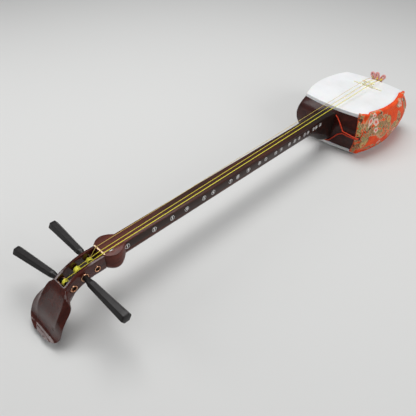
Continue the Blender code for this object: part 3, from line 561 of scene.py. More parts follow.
def brocade():
    """Red-orange brocade: clouds of olive and brown leaves, golden chrysanthemums and pink plum flowers."""
    g = Graph("brocade", Sheen_Weight=0.06, Sheen_Roughness=0.45, Specular_IOR_Level=0.22)
    base = g.cloth()
    tint = g.noise(base, 45.0, 2.0)
    colour = g.ramp(tint, (0.30, (0.80, 0.055, 0.006)), (0.65, (0.98, 0.105, 0.012)))

    # Leaf clouds: ragged patches with radiating olive, brown and gold leaves and orange berries
    inputs = {"Vector": base, "Scale": 70.0, "Detail": 4.0, "Roughness": 0.7}
    coarse = g.add("TexNoise", inputs).outputs["Color"]
    ragged = g.vector("MULTIPLY", g.vector("SUBTRACT", coarse, (0.5, 0.5, 0.5)), (0.026, 0.026, 0.0))
    bent = g.vector("ADD", base, ragged)
    cloud = 0.0
    for along, round_, half_along, half_round in LEAF_CLOUDS:
        local = g.vector("SUBTRACT", bent, (along, round_, 0.0))
        reach = g.vector("LENGTH", g.vector("MULTIPLY", local, (1 / half_along, 1 / half_round, 0.0)))
        cloud = g.maths("MAXIMUM", cloud, g.maths("SUBTRACT", 1.5, reach))
    inside = g.step(cloud, 0.52, 0.03)
    rim = g.maths("SUBTRACT", g.step(cloud, 0.42, 0.03), inside)
    swirl = g.vector("ADD", base, g.vector("MULTIPLY", ragged, (0.25, 0.25, 0.0)))
    local, random = scattered(g, swirl, 0.0125, 0.9, 0.31)
    ratio, angle = petals(g, local, g.times(random["Red"], 6.3), 9, 0.0075, 0.35)
    rays = g.ripple(angle, 9.0)
    olives = (0.080, 0.070, 0.020), (0.220, 0.220, 0.050), (0.500, 0.440, 0.190)
    browns = (0.060, 0.026, 0.014), (0.240, 0.100, 0.045), (0.600, 0.380, 0.170)
    green, brown = (g.ramp(rays, *zip((0.10, 0.50, 0.95), shades)) for shades in (olives, browns))
    leaf = g.mix(g.step(random["Green"], 0.48, 0.01), green, brown)
    leaf = g.mix(g.step(ratio, 0.86, 0.05), leaf, (0.680, 0.540, 0.300))
    ground = g.mix(g.step(tint, 0.50, 0.02), (0.140, 0.060, 0.025), colour)
    leaf = g.mix(g.step(ratio, 1.02, 0.04), leaf, ground)
    local, random = scattered(g, base, 0.0080, 0.8, 0.77)
    berry = g.inverse(g.step(g.vector("LENGTH", local), 0.0019, 0.0002))
    berry = g.times(berry, g.step(random["Red"], 0.45, 0.01))
    leaf = g.mix(berry, leaf, (0.90, 0.110, 0.015))
    colour = g.mix(inside, colour, leaf)
    colour = g.mix(rim, colour, (0.620, 0.480, 0.270))

    def gold(ratio, angle):
        """A golden chrysanthemum with a red heart and a brown outline."""
        golds = (0.240, 0.120, 0.035), (0.600, 0.380, 0.110), (0.740, 0.540, 0.220)
        paint = g.ramp(g.ripple(angle, 7.0), *zip((0.10, 0.45, 1.0), golds))
        paint = g.mix(g.step(ratio, 0.98, 0.03), paint, (0.150, 0.095, 0.055))
        return g.mix(g.inverse(g.step(ratio, 0.28, 0.03)), paint, (0.720, 0.030, 0.015))

    def pink(ratio, _):
        """A pink plum flower with a red heart and a pale outline."""
        paint = g.mix(g.step(ratio, 0.50, 0.25), (0.820, 0.160, 0.130), (0.900, 0.640, 0.560))
        paint = g.mix(g.step(ratio, 0.96, 0.03), paint, (0.860, 0.760, 0.560))
        return g.mix(g.inverse(g.step(ratio, 0.32, 0.03)), paint, (0.950, 0.120, 0.015))

    raised = inside
    kinds = (GOLD_FLOWERS, 40, 14, 0.12, gold), (PLUM_FLOWERS, 70, 5, 0.24, pink)
    for table, turn, count, wave, paint in kinds:
        for along, round_, radius in table:
            local = g.vector("SUBTRACT", base, (along, round_, 0.0))
            ratio, angle = petals(g, local, turn * along, count, radius, wave)
            flower = g.inverse(g.step(ratio, 1.12, 0.03))
            colour = g.mix(flower, colour, paint(ratio, angle))
            raised = g.maths("MAXIMUM", raised, flower)

    # Weave: fine twill that tints the colour a little and raises the figured threads
    parts = g.add("SeparateXYZ", {0: base}).outputs
    twill = g.maths("SINE", g.times(g.maths("ADD", parts["X"], parts["Y"]), 7800.0))
    weft = g.maths("SINE", g.times(parts["Y"], 11500.0))
    thread = g.times(twill, 0.25, g.times(weft, 0.25, 0.5))
    fuzz = g.noise(base, 1500.0, 2.0, 0.7)
    darker = g.vector("MULTIPLY", colour, (0.78, 0.70, 0.70))
    colour = g.mix(g.times(thread, 0.45, g.times(fuzz, 0.55)), darker, colour)
    bumps = (raised, 0.00020), (thread, 0.00010), (fuzz, 0.00008)
    return g.finish(colour, g.times(raised, -0.14, 0.70), *bumps)


# ---- The body ----


def belly(z):
    """How far the wood stands out beyond the skin's edge at a height."""
    middle = BODY_DEPTH / 2
    reach = middle - SKIN_WRAP - GAP
    return BELLY * max(0.0, 1 - ((z - middle) / reach) ** 2)


def wall_point(side, u, offset, z):
    """A point of the body's outline: u runs from -1 to 1 along the side, offset is outwards."""
    if side in ("head", "tail"):
        x = CORNER_X + BULGE_ENDS * (1 - u * u) + offset
        return Vector((-x if side == "head" else x, u * (CORNER_Y + offset), z))
    y = CORNER_Y + BULGE_SIDES * (1 - u * u) + offset
    return Vector((u * (CORNER_X + offset), -y if side == "near" else y, z))


def outline(offset, z):
    """All four sides as one ring of points at a height."""
    steps, ring = 30, []
    for side, direction in (("near", 1), ("tail", 1), ("far", -1), ("head", -1)):
        ring += [wall_point(side, direction * (2 * i / steps - 1), offset, z) for i in range(steps)]
    return ring


def make_skins(material):
    """Each skin is stretched flat, turned over a rounded edge and glued down the wood in a narrow band."""
    roll = 0.0018
    for name, face, inward in (("front_skin", BODY_DEPTH, -1), ("back_skin", 0.0, 1)):
        rings = [outline(-SKIN_THICKNESS, face + inward * SKIN_WRAP)]
        ragged = outline(0.0, face + inward * SKIN_WRAP)
        rings.append([p + Vector((0.0, 0.0, -0.0003 * inward * (1 + noise.noise(p * 90)))) for p in ragged])
        for offset, depth in ((0.0001, 0.0070), (0.0001, 0.0050), (-0.0001, 0.0042), (-0.0004, 0.0036),
                              (-0.0001, 0.0030), (0.0001, 0.0024)):
            rings.append(outline(offset, face + inward * depth))
        rings += [outline(-roll * (1 - c), face + inward * roll * (1 - s)) for c, s in arc(5)]
        rings += [outline(-0.0040, face), outline(-0.0120, face)]
        bm = loft(rings, caps=False)
        bm.verts.ensure_lookup_table()
        count = len(rings[0])
        bm.faces.new(bm.verts[-count:])
        inner = [outline(-SKIN_THICKNESS, face + inward * 1.2 * SKIN_THICKNESS), rings[0]]
        loft(inner, caps=False, bm=bm)
        bm.verts.ensure_lookup_table()
        bm.faces.new(bm.verts[-2 * count : -count])
        bmesh.ops.remove_doubles(bm, verts=bm.verts, dist=TINY)
        piece(f"{name}_stretched", bm, material, replaces=[name], angle=50)


def stave_profile():
    """(offset, z) rows round a stave's section, with a ledge for each skin's edge."""
    low, high = SKIN_THICKNESS + GAP, BODY_DEPTH - SKIN_THICKNESS - GAP
    tucked, ledge = -SKIN_THICKNESS - GAP, SKIN_WRAP + GAP
    profile = [(-STAVE_THICKNESS, low), (tucked, low), (tucked, ledge)]
    rows = 26
    for i in range(rows + 1):
        z = ledge + (BODY_DEPTH - 2 * ledge) * i / rows
        profile.append((belly(z), z))
    return [*profile, (tucked, BODY_DEPTH - ledge), (tucked, high), (-STAVE_THICKNESS, high)]


def make_staves(material):
    for side in ("head", "near", "tail", "far"):
        rings = []
        for i in range(33):
            u = 2 * i / 32 - 1
            ring = []
            for offset, z in stave_profile():
                point = wall_point(side, u, offset, z)
                if abs(u) == 1.0:
                    axis = 1 if side in ("head", "tail") else 0
                    point[axis] -= math.copysign(0.75 * GAP, u)
                ring.append(point)
            rings.append(ring)
        stave = piece(f"stave_{side}", loft(rings), material, replaces=[f"body_stave_{side}"])
        if side == "tail":
            hole = PIN_HALF_WIDTH + GAP
            cut(stave, box((0.05, -hole, PIN_Z[0] - GAP), (0.2, hole, PIN_Z[1] + GAP)))


# ---- The neck ----


def neck_top(x):
    body_edge = -CORNER_X - BULGE_ENDS
    return NECK_TOP_NUT + (NECK_TOP_BODY - NECK_TOP_NUT) * (x - NUT_X) / (body_edge - NUT_X)


def neck_section(x, half_width=NECK_HALF_WIDTH, side=NECK_SIDE, depth=NECK_DEPTH):
    """Flat playing face, softly rounded arrises, upright sides and a half-round back."""
    top, r = neck_top(x), 0.0009
    ring = [(x, -half_width * (1 - t), top) for t in (0.93, 1.0)] + [(x, 0.5 * half_width, top)]
    ring += [(x, half_width - r + r * s, top - r + r * c) for c, s in arc(3)]
    ring += [(x, half_width * c, top - side - (depth - side) * s) for c, s in arc(24, 0, 180)]
    return ring + [(x, -half_width + r - r * s, top - r + r * c) for c, s in arc(3, 90, 0)]


def lobe_section(x):
    t = min(max((x - LOBE_START) / (LOBE_END - LOBE_START), 0.0), 1.0)
    swell = math.sin(math.pi * t**0.92) ** 0.9 if 0.0 < t < 1.0 else 0.0
    half_width = NECK_HALF_WIDTH + (LOBE_HALF_WIDTH - NECK_HALF_WIDTH) * swell
    depth = NECK_DEPTH + (LOBE_DEPTH - NECK_DEPTH) * swell
    return neck_section(x, half_width, NECK_SIDE + 0.006 * swell, depth)


def root_section(x):
    t = smoothstep((x - ROOT_START) / (ROOT_END - ROOT_START))
    depth = NECK_DEPTH + (neck_top(x) - ROOT_BOTTOM - NECK_DEPTH) * t
    spread = ROOT_SPREAD * smoothstep((x - ROOT_SPREAD_START) / (ROOT_END - ROOT_SPREAD_START))
    return neck_section(x, NECK_HALF_WIDTH + spread, NECK_SIDE + (depth - NECK_DEPTH) * 0.78, depth)


def make_neck(wood, root_wood):
    lobes = [LOBE_START + (LOBE_END - LOBE_START) * i / 48 for i in range(49)]
    first_joint, second_joint = MIDDLE_LOW.x, span("lower_neck")[0].x - GAP
    rings = [lobe_section(x) for x in lobes]
    rings += [neck_section(LOBE_END + (first_joint - GAP - LOBE_END) * i / 6) for i in range(1, 7)]
    upper = piece("neck_upper", loft(rings), wood, replaces=["upper_neck"])
    pocket_low, pocket_high = span("sawari_piece")
    grow = Vector((GAP, GAP, GAP))
    cut(upper, box(pocket_low - grow, pocket_high + grow + Vector((0.0, 0.0, 0.02))))
    rings = [neck_section(first_joint + (second_joint - first_joint) * i / 6) for i in range(7)]
    piece("neck_middle", loft(rings), wood, replaces=["middle_neck"])
    stations = [ROOT_START + (ROOT_END - ROOT_START) * i / 40 for i in range(41)]
    rings = [root_section(x) for x in (second_joint + GAP, -0.27, -0.235, *stations, -0.085)]
    lower = piece("neck_lower", loft(rings), root_wood, replaces=["lower_neck"])
    heights = [SKIN_WRAP + GAP + (BODY_DEPTH - 2 * SKIN_WRAP) * i / 20 for i in range(21)]
    body = [outline(belly(z) + GAP, z) for z in (-0.01, *heights, BODY_DEPTH + 0.02)]
    cut(lower, loft(body))
    weld(lower)
    top, past, length, drop = neck_top(GROOVE_X), -0.05, 0.0060, 0.0055
    shoulder = [(past, 0.2), (GROOVE_X - length, 0.2)]
    shoulder += [(GROOVE_X - length * (1 - s), top + 0.0002 - drop * (1 - c)) for c, s in arc(8)]
    shoulder += [(GROOVE_X, top - GROOVE_DEPTH), (past, top - GROOVE_DEPTH)]
    cut(lower, slab(shoulder, 0.05))
    rows = [(0.094, 0.0061), (PIN_END - 0.0035, 0.0061), (PIN_END - 0.0012, 0.0055), (PIN_END, 0.0036)]
    pin = loft(turned(rows, (0.0, 0.0, sum(PIN_Z) / 2), (1, 0, 0)))
    piece("end_pin", pin, root_wood)


def make_numbers(film, ink):
    """White position numbers along the neck's near side, at steps in semitones of the open string."""
    low, high = span("position_strip")
    strip = piece("number_film_strip", box(low, high), film, replaces=["position_strip"])
    soften(strip, 0.00012)
    steps = (0.9, 1.3, 1.0, 0.9, 1.2, 0.7, 1.5, 0.7, 1.1, 1.3, 0.8,
             1.4, 0.85, 1.4, 1.0, 0.9, 1.2, 0.8, 1.4, 0.75, 1.2)
    sounding = BRIDGE_X - NUT_X
    semitones = 0.0
    marks = bmesh.new()
    for number, step in enumerate(steps, 1):
        semitones += step
        x = NUT_X + sounding * (1 - 2 ** (-semitones / 12))
        height, narrow, rim = (0.0056, 1.0, 0.0046) if number < 10 else (0.0042, 0.68, 0.0041)
        text = bpy.data.curves.new("number", "FONT")
        text.body = str(number)
        text.size = height / 0.72
        text.space_character = 0.9
        text.align_x = text.align_y = "CENTER"
        text.extrude = 0.00004
        text.offset = 0.00030
        text.resolution_u = 2
        holder = bpy.data.objects.new("number", text)
        mesh = bpy.data.meshes.new_from_object(holder)
        centre = Vector((x, low.y - 0.00006, neck_top(x) - 0.0093))
        turn = Matrix.Rotation(math.radians(90), 4, "X")
        mesh.transform(Matrix.Translation(centre) @ turn @ Matrix.Diagonal((narrow, 1.0, 1.0, 1.0)))
        marks.from_mesh(mesh)
        bpy.data.objects.remove(holder)
        bpy.data.meshes.remove(mesh)
        rows = [(-0.00004, rim - 0.0006), (-0.00004, rim), (0.00004, rim), (0.00004, rim - 0.0006)]
        loft(turned(rows, centre, (0, 1, 0), sides=48), joined=True, bm=marks)
    bmesh.ops.remove_doubles(marks, verts=marks.verts, dist=0.000002)
    piece("position_numbers", marks, ink, angle=30)


# ---- The head ----


def head_section(x, z, angle, ridge, edge, recess, floor, depth, back, hollow=0.0):
    """A section square to the head's front curve: dished front panel, side bevels and a rounded back."""
    normal = Vector((-math.sin(angle), 0.0, math.cos(angle)))
    rim = recess + 0.0022
    rows = [(ridge * t, floor + hollow * (1 - t**4)) for t in (0.0, 0.3, 0.55, 0.75, 0.9, 0.97)]
    rows.append((ridge, floor + 0.00010))
    bow = 0.5 if hollow > 0.0 else 0.0
    for t in (0.07, 0.2, 0.4, 0.6, 0.8):
        fall = t + bow * t * (1 - t)
        rows.append((ridge + (edge - ridge) * t, floor + (recess - floor) * fall))
    rows += [(edge - 0.0004, recess), (edge, recess + 0.0006)]
    for i in range(1, 8):
        t = i / 8
        width = (1 - t) ** 2 * edge + 2 * t * (1 - t) * (0.5 * (edge + back) + 0.0008) + t * t * back
        rows.append((width, rim + (depth - 0.0040 - rim) * t))
    rows += [(back - 0.0035 * (1 - c), depth - 0.0040 + 0.0040 * s) for c, s in arc(4)]
    half = [Vector((x, y, z)) - d * normal for y, d in rows]
    other = [Vector((x, -y, z)) - d * normal for y, d in rows[1:]]
    return half + [Vector((x, 0.0, z)) - depth * normal] + other[::-1]


def flare_stations(start_x, start_z, steps):
    """(distance, x, z, angle) down the head's front, closer together towards its end."""
    path = smooth_path([(start_x - out, 0.0, start_z - down) for out, down in FLARE_CURVE], 24)
    travelled = [0.0]
    for a, b in zip(path, path[1:]):
        travelled.append(travelled[-1] + (b - a).length)
    for i in range(1, steps + 1):
        s = travelled[-1] * math.sin(0.5 * math.pi * i / steps) ** 0.92
        k = min(max(j for j, reached in enumerate(travelled) if reached <= s + 1e-9), len(path) - 2)
        share = (s - travelled[k]) / (travelled[k + 1] - travelled[k])
        before, after = path[max(k - 6, 0)], path[min(k + 7, len(path) - 1)]
        place = path[k].lerp(path[k + 1], share)
        yield s, place.x, place.z, math.atan2(before.z - after.z, before.x - after.x)


def head_sections():
    """Pegbox along its bend, then the head flaring out and down, its end dished and turned up."""
    top, width = neck_top(NUT_X), BOX_HALF_WIDTH
    plain = (width - 0.0016, width, 0.0006, 0.0)
    sections = []
    for x in (LOBE_START - GAP, BOX_BEND_X):
        sections.append(head_section(x, top, 0.0, *plain, BOX_DEPTH, width))
    for i in range(1, 22):
        angle = BOX_TURN * i / 21
        x, z = BOX_BEND_X - BOX_RADIUS * math.sin(angle), top - BOX_RADIUS * (1 - math.cos(angle))
        depth = BOX_DEPTH + (BOX_DEPTH_END - BOX_DEPTH) * i / 21
        sections.append(head_section(x, z, angle, *plain, depth, width))
    ridges = ((0.0, 0.0134), (0.0114, 0.0222), (0.0359, 0.0250), (0.0561, 0.0245), (0.0790, 0.0205),
              (0.0860, 0.0140), (0.0894, 0.0080))
    edges = ((0.0, 0.0150), (0.0114, 0.0240), (0.0222, 0.0320), (0.0410, 0.0370), (0.0660, 0.0400),
             (0.0740, 0.0392), (0.0800, 0.0360), (0.0850, 0.0290), (0.0880, 0.0200), (0.0894, 0.0130))
    recesses = ((0.0, 0.0006), (0.0114, 0.0030), (0.0222, 0.0090), (0.0410, 0.0045), (0.0600, 0.0010),
                (0.0712, -0.0018), (0.0800, -0.0060), (0.0850, -0.0092), (0.0894, -0.0122))
    floors = ((0.0, 0.0), (0.0560, 0.0), (0.0660, -0.0008), (0.0740, -0.0022), (0.0820, -0.0056),
              (0.0870, -0.0092), (0.0894, -0.0114))
    depths = ((0.0, 0.0240), (0.020, 0.0200), (0.060, 0.0150), (0.080, 0.0095), (0.0894, -0.0010))
    backs = ((0.0, 0.0150), (0.020, 0.0175), (0.040, 0.0190), (0.070, 0.0190), (0.082, 0.0150),
             (0.0894, 0.0070))
    hollows = ((0.0, 0.0), (0.012, 0.0004), (0.035, 0.0012), (0.070, 0.0010), (0.0894, 0.0))
    stations = list(flare_stations(x, z, 64))
    stretch = (ridges[-1][0] - FLARE_PLAIN) / (stations[-1][0] - FLARE_PLAIN)
    for s, x, z, angle in stations:
        s += max(s - FLARE_PLAIN, 0.0) * (stretch - 1)
        values = [between(rows, s) for rows in (ridges, edges, recesses, floors, depths, backs, hollows)]
        sections.append(head_section(x, z, angle, *values))
    last = sections[-1]
    centre = sum(last, Vector()) / len(last)
    ahead = Vector((-math.cos(angle), 0.0, -math.sin(angle)))
    for c, s in arc(7)[1:]:
        shrink, reach = 1 - END_ROUND * (1 - c), END_REACH * s
        sections.append([centre + (p - centre) * shrink + ahead * reach for p in last])
    return sections


def pegs():
    """Each peg's number, the centre of its winding, its direction from tip to handle, and its tip."""
    for number in (1, 2, 3):
        joint = JOINTS[f"peg_{number}_turn"]
        centre = TO_INSTRUMENT @ Vector(joint["pos_m"])
        direction = (TO_INSTRUMENT.to_3x3() @ Vector(joint["axis"])).normalized()
        tip_y = -math.copysign(PEG_TIP_Y, direction.y)
        yield number, centre, direction, centre + direction * (tip_y - centre.y) / direction.y


def stem_radius(along):
    return PEG_TIP_RADIUS + (PEG_WALL_RADIUS - PEG_TIP_RADIUS) * along / PEG_WALL_AT


def wall_crossings(direction, tip):
    """Where a peg passes each wall of the pegbox, the wall's side and a radius that clears the peg."""
    drift = 0.0035 * math.hypot(direction.x, direction.z)
    for side in (-1, 1):
        y = side * 0.5 * (SLOT_HALF_WIDTH + BOX_HALF_WIDTH)
        along = (y - tip.y) / direction.y
        yield tip + along * direction, side, stem_radius(along + 0.003) + drift + 0.0004


def make_head(lacquer, copper):
    tenjin = piece("tenjin_head", loft(head_sections()), lacquer, replaces=["tenjin"])
    lip = neck_top(NUT_X) - 0.0045
    slot = [(LOBE_START + GAP, 0.11), (LOBE_START + GAP, lip), (SLOT_START, lip - 0.004), (SLOT_START, 0.0),
            (SLOT_END, 0.0), (SLOT_END, 0.11)]
    cut(tenjin, slab(slot, SLOT_HALF_WIDTH))
    holes = bmesh.new()
    half_wall = 0.5 * (BOX_HALF_WIDTH - SLOT_HALF_WIDTH)
    for number, _, direction, tip in pegs():
        for place, side, radius in wall_crossings(direction, tip):
            face = half_wall + 0.2 * GAP
            rows = [(-0.0041, radius + 0.0010), (face, radius + 0.0010), (face, radius + 0.0023),
                    (0.0250, radius + 0.0055)]
            loft(turned(rows, place, (0, side, 0), sides=32), bm=holes)
            flange = half_wall + GAP
            rows = [(-half_wall, radius), (-half_wall, radius + 0.0007), (flange, radius + 0.0007),
                    (flange, radius + 0.0018)]
            rows += [(flange + 0.0012 * s, radius + 0.0010 + 0.0010 * c) for c, s in arc(8, 0, 180)]
            name = "tip" if side * direction.y < 0 else "handle"
            ring = loft(turned(rows, place, (0, side, 0)), joined=True)
            piece(f"ring_{number}_{name}", ring, copper,
                  replaces=[f"peg_{number}_bush_{name}"])
    cut(tenjin, holes)


def make_pegs(wood, silk):
    for number, centre, direction, tip in pegs():
        profile = [(0.0, 0.0008), (0.0002, 0.0018), (0.0008, PEG_TIP_RADIUS), (PEG_WALL_AT, PEG_WALL_RADIUS),
                   (0.0385, PEG_WALL_RADIUS + 0.0003), (0.0402, PEG_WALL_RADIUS + 0.0008),
                   (COLLAR_END, COLLAR_RADIUS, 0.3)]
        for i in range(1, 6):
            t = i / 5
            radius = COLLAR_RADIUS + (HANDLE_RADIUS_START - COLLAR_RADIUS) * math.sin(0.5 * math.pi * t)
            profile.append((COLLAR_END + (HANDLE_START - COLLAR_END) * t, radius, 0.3 + 0.7 * t))
        straight = PEG_LENGTH - HANDLE_ROUND
        for i in range(1, 13):
            t = i / 12
            radius = HANDLE_RADIUS_START + (HANDLE_RADIUS_END - HANDLE_RADIUS_START) * t
            profile.append((HANDLE_START + (straight - HANDLE_START) * t, radius, 1.0))
        for c, s in arc(5)[1:]:
            radius = HANDLE_RADIUS_END - HANDLE_ROUND * (1 - c)
            profile.append((straight + 0.8 * HANDLE_ROUND * s, radius, 1.0))
        profile.append((PEG_LENGTH, 0.0025, 1.0))
        name, body = COILS[number - 1][0], f"peg_{number}"
        piece(f"{body}_turned", loft(turned(profile, tip, direction, sides=72)), wood, body=body,
              replaces=[f"{body}_string_{name}"], angle=28)
        make_coil(number, centre, direction, silk)


def make_coil(number, centre, direction, silk):
    """Turns of string on a peg, the outer layer laid back over the inner one."""
    name, radius, outer, half, layers = COILS[number - 1]
    side = direction.cross(Vector((0.0, 0.0, 1.0))).normalized()
    up = side.cross(direction)
    points = []
    for layer in range(layers):
        turns = int(2 * half / (2.05 * radius)) - layer
        reach = outer - radius - (layers - 1 - layer) * 1.75 * radius
        for i in range(turns * 20 + 1):
            t = i / (turns * 20)
            along = (half - radius) * (2 * t - 1) * (1 if layer % 2 == 0 else -0.9)
            a = 2 * math.pi * turns * t
            lump = 0.00012 * noise.noise(Vector((3.1 * number, 0.7 * a, 1.3 * layer)))
            out = (reach + lump) * (math.cos(a) * up + math.sin(a) * side)
            points.append(centre + direction * along + out)
    piece(f"coil_{number}", loft(tube(points, radius, sides=8)), silk, body=f"peg_{number}",
          replaces=[f"winding_{number}_string_{name}"], angle=80)


# ---- The strings, their bridge and their tail ----


def make_nut(metal_):
    low, high, foot = NUT_LOW, NUT_HIGH, 0.0006
    half, rise = 0.5 * (high.x - low.x), high.z - low.z - foot
    rows = [(NUT_X + half * c * (1 - 0.12 * s), low.z + foot + rise * s) for c, s in arc(12, 0, 180)]
    ring = [(high.x, low.z), *rows, (low.x, low.z)]
    stations = [(low.y, 0.75), (low.y + 0.0004, 0.95), (low.y + 0.0009, 1.0)]
    stations += [(-y, scale) for y, scale in stations[::-1]]
    rings = [[(NUT_X + (x - NUT_X) * s, y, low.z + (z - low.z) * s) for x, z in ring] for y, s in stations]
    piece("nut_bar", loft(rings), metal_, replaces=["nut"])


def make_sawari(metal_):
    """The small adjustable plate under the thick string, with a raised pad at each end."""
    low, high = span("sawari_piece")
    pad, drop = 0.0013, 0.0007
    profile = [(low.x, low.z), (high.x, low.z), (high.x, high.z), (high.x - pad, high.z),
               (high.x - pad, high.z - drop), (low.x + pad, high.z - drop), (low.x + pad, high.z),
               (low.x, high.z)]
    plate = piece("sawari_plate", loft([[(x, y, z) for x, z in profile] for y in (low.y, high.y)]), metal_,
                  body="sawari", replaces=["sawari_piece"])
    soften(plate, 0.00015)


def make_strings(silks):
    for string, coil, peg, silk in zip(STRINGS, COILS, pegs(), silks):
        name, radius, nut_y, bridge_y, tail_y, lean, _ = string
        centre, clear = peg[1], radius + 0.5 * GAP
        start = Vector((centre.x + 0.0015, centre.y, centre.z + coil[2] + radius * 0.4))
        nut = Vector((NUT_X, nut_y, NUT_HIGH.z + clear))
        bridge = Vector((BRIDGE_X, bridge_y, BRIDGE_HIGH.z + clear))
        loop = Vector((LOOP_X - 0.0030, tail_y, LOOP_Z + 0.0004))
        half = 0.5 * (NUT_HIGH.x - NUT_LOW.x) * Vector((1, 0, 0))
        foot = 0.5 * (BRIDGE_HIGH.x - BRIDGE_LOW.x) * Vector((0.8, 0, 0))
        low = Vector((0, 0, 0.2 * radius))
        runs = [(start, nut - half - low), (nut + half - low, bridge - foot - low),
                (bridge + foot - low, loop)]
        points = []
        for i, (a, b) in enumerate(runs):
            steps = 40 if i == 1 else 10
            points += [a.lerp(b, k / steps) for k in range(steps + 1)]
            if i < 2:
                points.append((nut, bridge)[i])
        piece(f"{name}_twisted", loft(tube(points, radius)), silk, replaces=[name], angle=80)
        tie_string(name, loop, radius, lean, silk)


def tie_string(name, loop, radius, lean, silk):
    """The string's tail: two turns round the silk loop, then a short loose end that springs up and curls."""
    points = []
    for i in range(49):
        a = 2 * math.pi * 2.25 * i / 48
        drift = Vector((0.0, radius * 2.1 * (i / 48 - 0.5) * 2.25, 0.0))
        points.append(loop + Vector((0.0014, 0.0, -0.0014)) + drift
                      + Vector((-math.cos(a), 0.0, math.sin(a))) * (0.0012 + radius))
    curls = ((0.0, 0.0, 0.0), (0.0006, 0.0016, 0.0014), (0.0022, 0.0046, 0.0030), (0.0052, 0.0082, 0.0034),
             (0.0072, 0.0116, 0.0024))
    curl = smooth_path([points[-1] + Vector((x, y * lean, z)) for x, y, z in curls], 8)[1:]
    radii = [radius] * len(points)
    radii += [radius * (1 - 0.55 * smoothstep(i / len(curl))) for i in range(len(curl))]
    piece(f"{name}_knot", loft(tube(points + curl, radii, sides=8)), silk, angle=80)


def make_bridge(material):
    """A low bridge: a long thin foot bar, two splayed legs and a raised top with a notch for each string."""
    height = BRIDGE_HIGH.z - BRIDGE_LOW.z
    half_base = 0.5 * (BRIDGE_HIGH.y - BRIDGE_LOW.y)
    foot, top_depth = 0.0024, 0.0030
    outer = [(0.0, height), (0.0152, height), (0.0163, height - 0.0010), (0.0158, height - top_depth),
             (0.0112, height - top_depth - 0.0008), (0.0104, foot + 0.0016), (0.0125, foot + 0.0002),
             (0.0200, foot * 0.85), (half_base - 0.002, 0.0012), (half_base, 0.0006), (half_base, 0.0)]
    ring = outer + [(-y, z) for y, z in outer[::-1] if y > 0.0]
    rings = []
    for t in (-1.0, -0.5, 0.5, 1.0):
        half = t * 0.5 * (BRIDGE_HIGH.x - BRIDGE_LOW.x)
        rings.append([(BRIDGE_X + half * (1 - 0.35 * max(z - 0.003, 0) / height), BRIDGE_Y + y,
                       BRIDGE_LOW.z + z) for y, z in ring])
    bridge = piece("bridge_carved", loft(rings), material, body="bridge", replaces=["bridge"])
    window = [(0.0060, foot), (0.0078, height - top_depth), (-0.0078, height - top_depth), (-0.0060, foot)]
    through = (BRIDGE_X - 0.01, BRIDGE_X + 0.01)
    cut(bridge, loft([[(x, BRIDGE_Y + y, BRIDGE_LOW.z + z) for y, z in window] for x in through]))
    soften(bridge, 0.00035)
    for _, radius, _, y, *_ in STRINGS:
        half, deep = radius + 0.00035, BRIDGE_HIGH.z - 0.0006
        cut(bridge, box((through[0], y - half, deep), (through[1], y + half, deep + 0.01)), angle=60)


def make_tail(silk):
    """Braided silk: two strands up from the end pin, a knot on the edge and a loop for each string."""
    cord = 0.0022
    edge_x = CORNER_X + BULGE_ENDS
    knot_x, knot_z = edge_x + 0.0042, BODY_DEPTH - 0.0040
    points = []
    for i in range(141):
        t = i / 140
        a = 2 * math.pi * 9 * t
        points.append((knot_x + 0.0016 * math.cos(a), -0.0140 + 0.0280 * t, knot_z + 0.0016 * math.sin(a)))
    bm = loft(tube(points, 0.0014, sides=10))
    core = [(-0.0150, 0.0006), (-0.0146, 0.0016), (0.0146, 0.0016), (0.0150, 0.0006)]
    loft(turned(core, (knot_x, 0.0, knot_z), (0, 1, 0), sides=16), bm=bm)
    piece("tail_knot", bm, silk, replaces=["tailpiece_knot"], angle=70)
    for number, (*_, y, _, degrees) in enumerate(STRINGS, 1):
        lean = math.radians(degrees)
        points = []
        for c, s in circle(48):
            rise, out = 0.0060 + 0.0072 * s, 0.0031 * c * (1 + 0.30 * s)
            across = out * math.cos(lean) + rise * math.sin(lean)
            up = rise * math.cos(lean) - out * math.sin(lean)
            points.append((LOOP_X + 0.0006 + 0.22 * up, 0.75 * y + 0.0002 + across, LOOP_Z - 0.0016 + up))
        loop = loft(closed_tube(points, 0.0026, sides=14), joined=True)
        piece(f"tail_loop_{number}", loop, silk, replaces=[f"tailpiece_loop_{number}"],
              angle=70)
        stem = smooth_path([(knot_x, y * 0.9, knot_z), (knot_x + 0.0006, y, knot_z + 0.0045),
                            (LOOP_X + 0.0010, y, LOOP_Z - 0.0018)], 5)
        piece(f"tail_stem_{number}", loft(tube(stem, STEM_RADIUS, sides=14)), silk, angle=70)
    side = PIN_HALF_WIDTH + cord + 2 * GAP
    hang = edge_x + BELLY + cord + 2 * GAP
    low = PIN_Z[0] - cord - 2 * GAP
    knot = Vector((knot_x, side, knot_z - 0.0022))
    down = [tuple(knot), (hang - 0.0015, side, 0.0800), (hang, side, 0.0680), (hang, side, PIN_Z[0] + 0.0020),
            (hang, 0.95 * side, PIN_Z[0] - 0.0016), (hang, 0.70 * side, low + 0.0003), (hang, 0.0, low)]
    route = down + [(x, -y, z) for x, y, z in reversed(down[:-1])]
    piece("tail_cord", loft(tube(smooth_path(route, 8), cord, sides=20)), silk,
          replaces=["tailpiece_cord"], angle=70)


# ---- The cloth cover ----


def cover_stations():
    flap = [1 - COVER_FLAP / CORNER_Y * (1 - i / 10) for i in range(10)]
    head = [("head", -v) for v in flap]
    near = [("near", 2 * i / 80 - 1) for i in range(81)]
    tail = [("tail", -v) for v in reversed(flap)]
    return head + near + tail


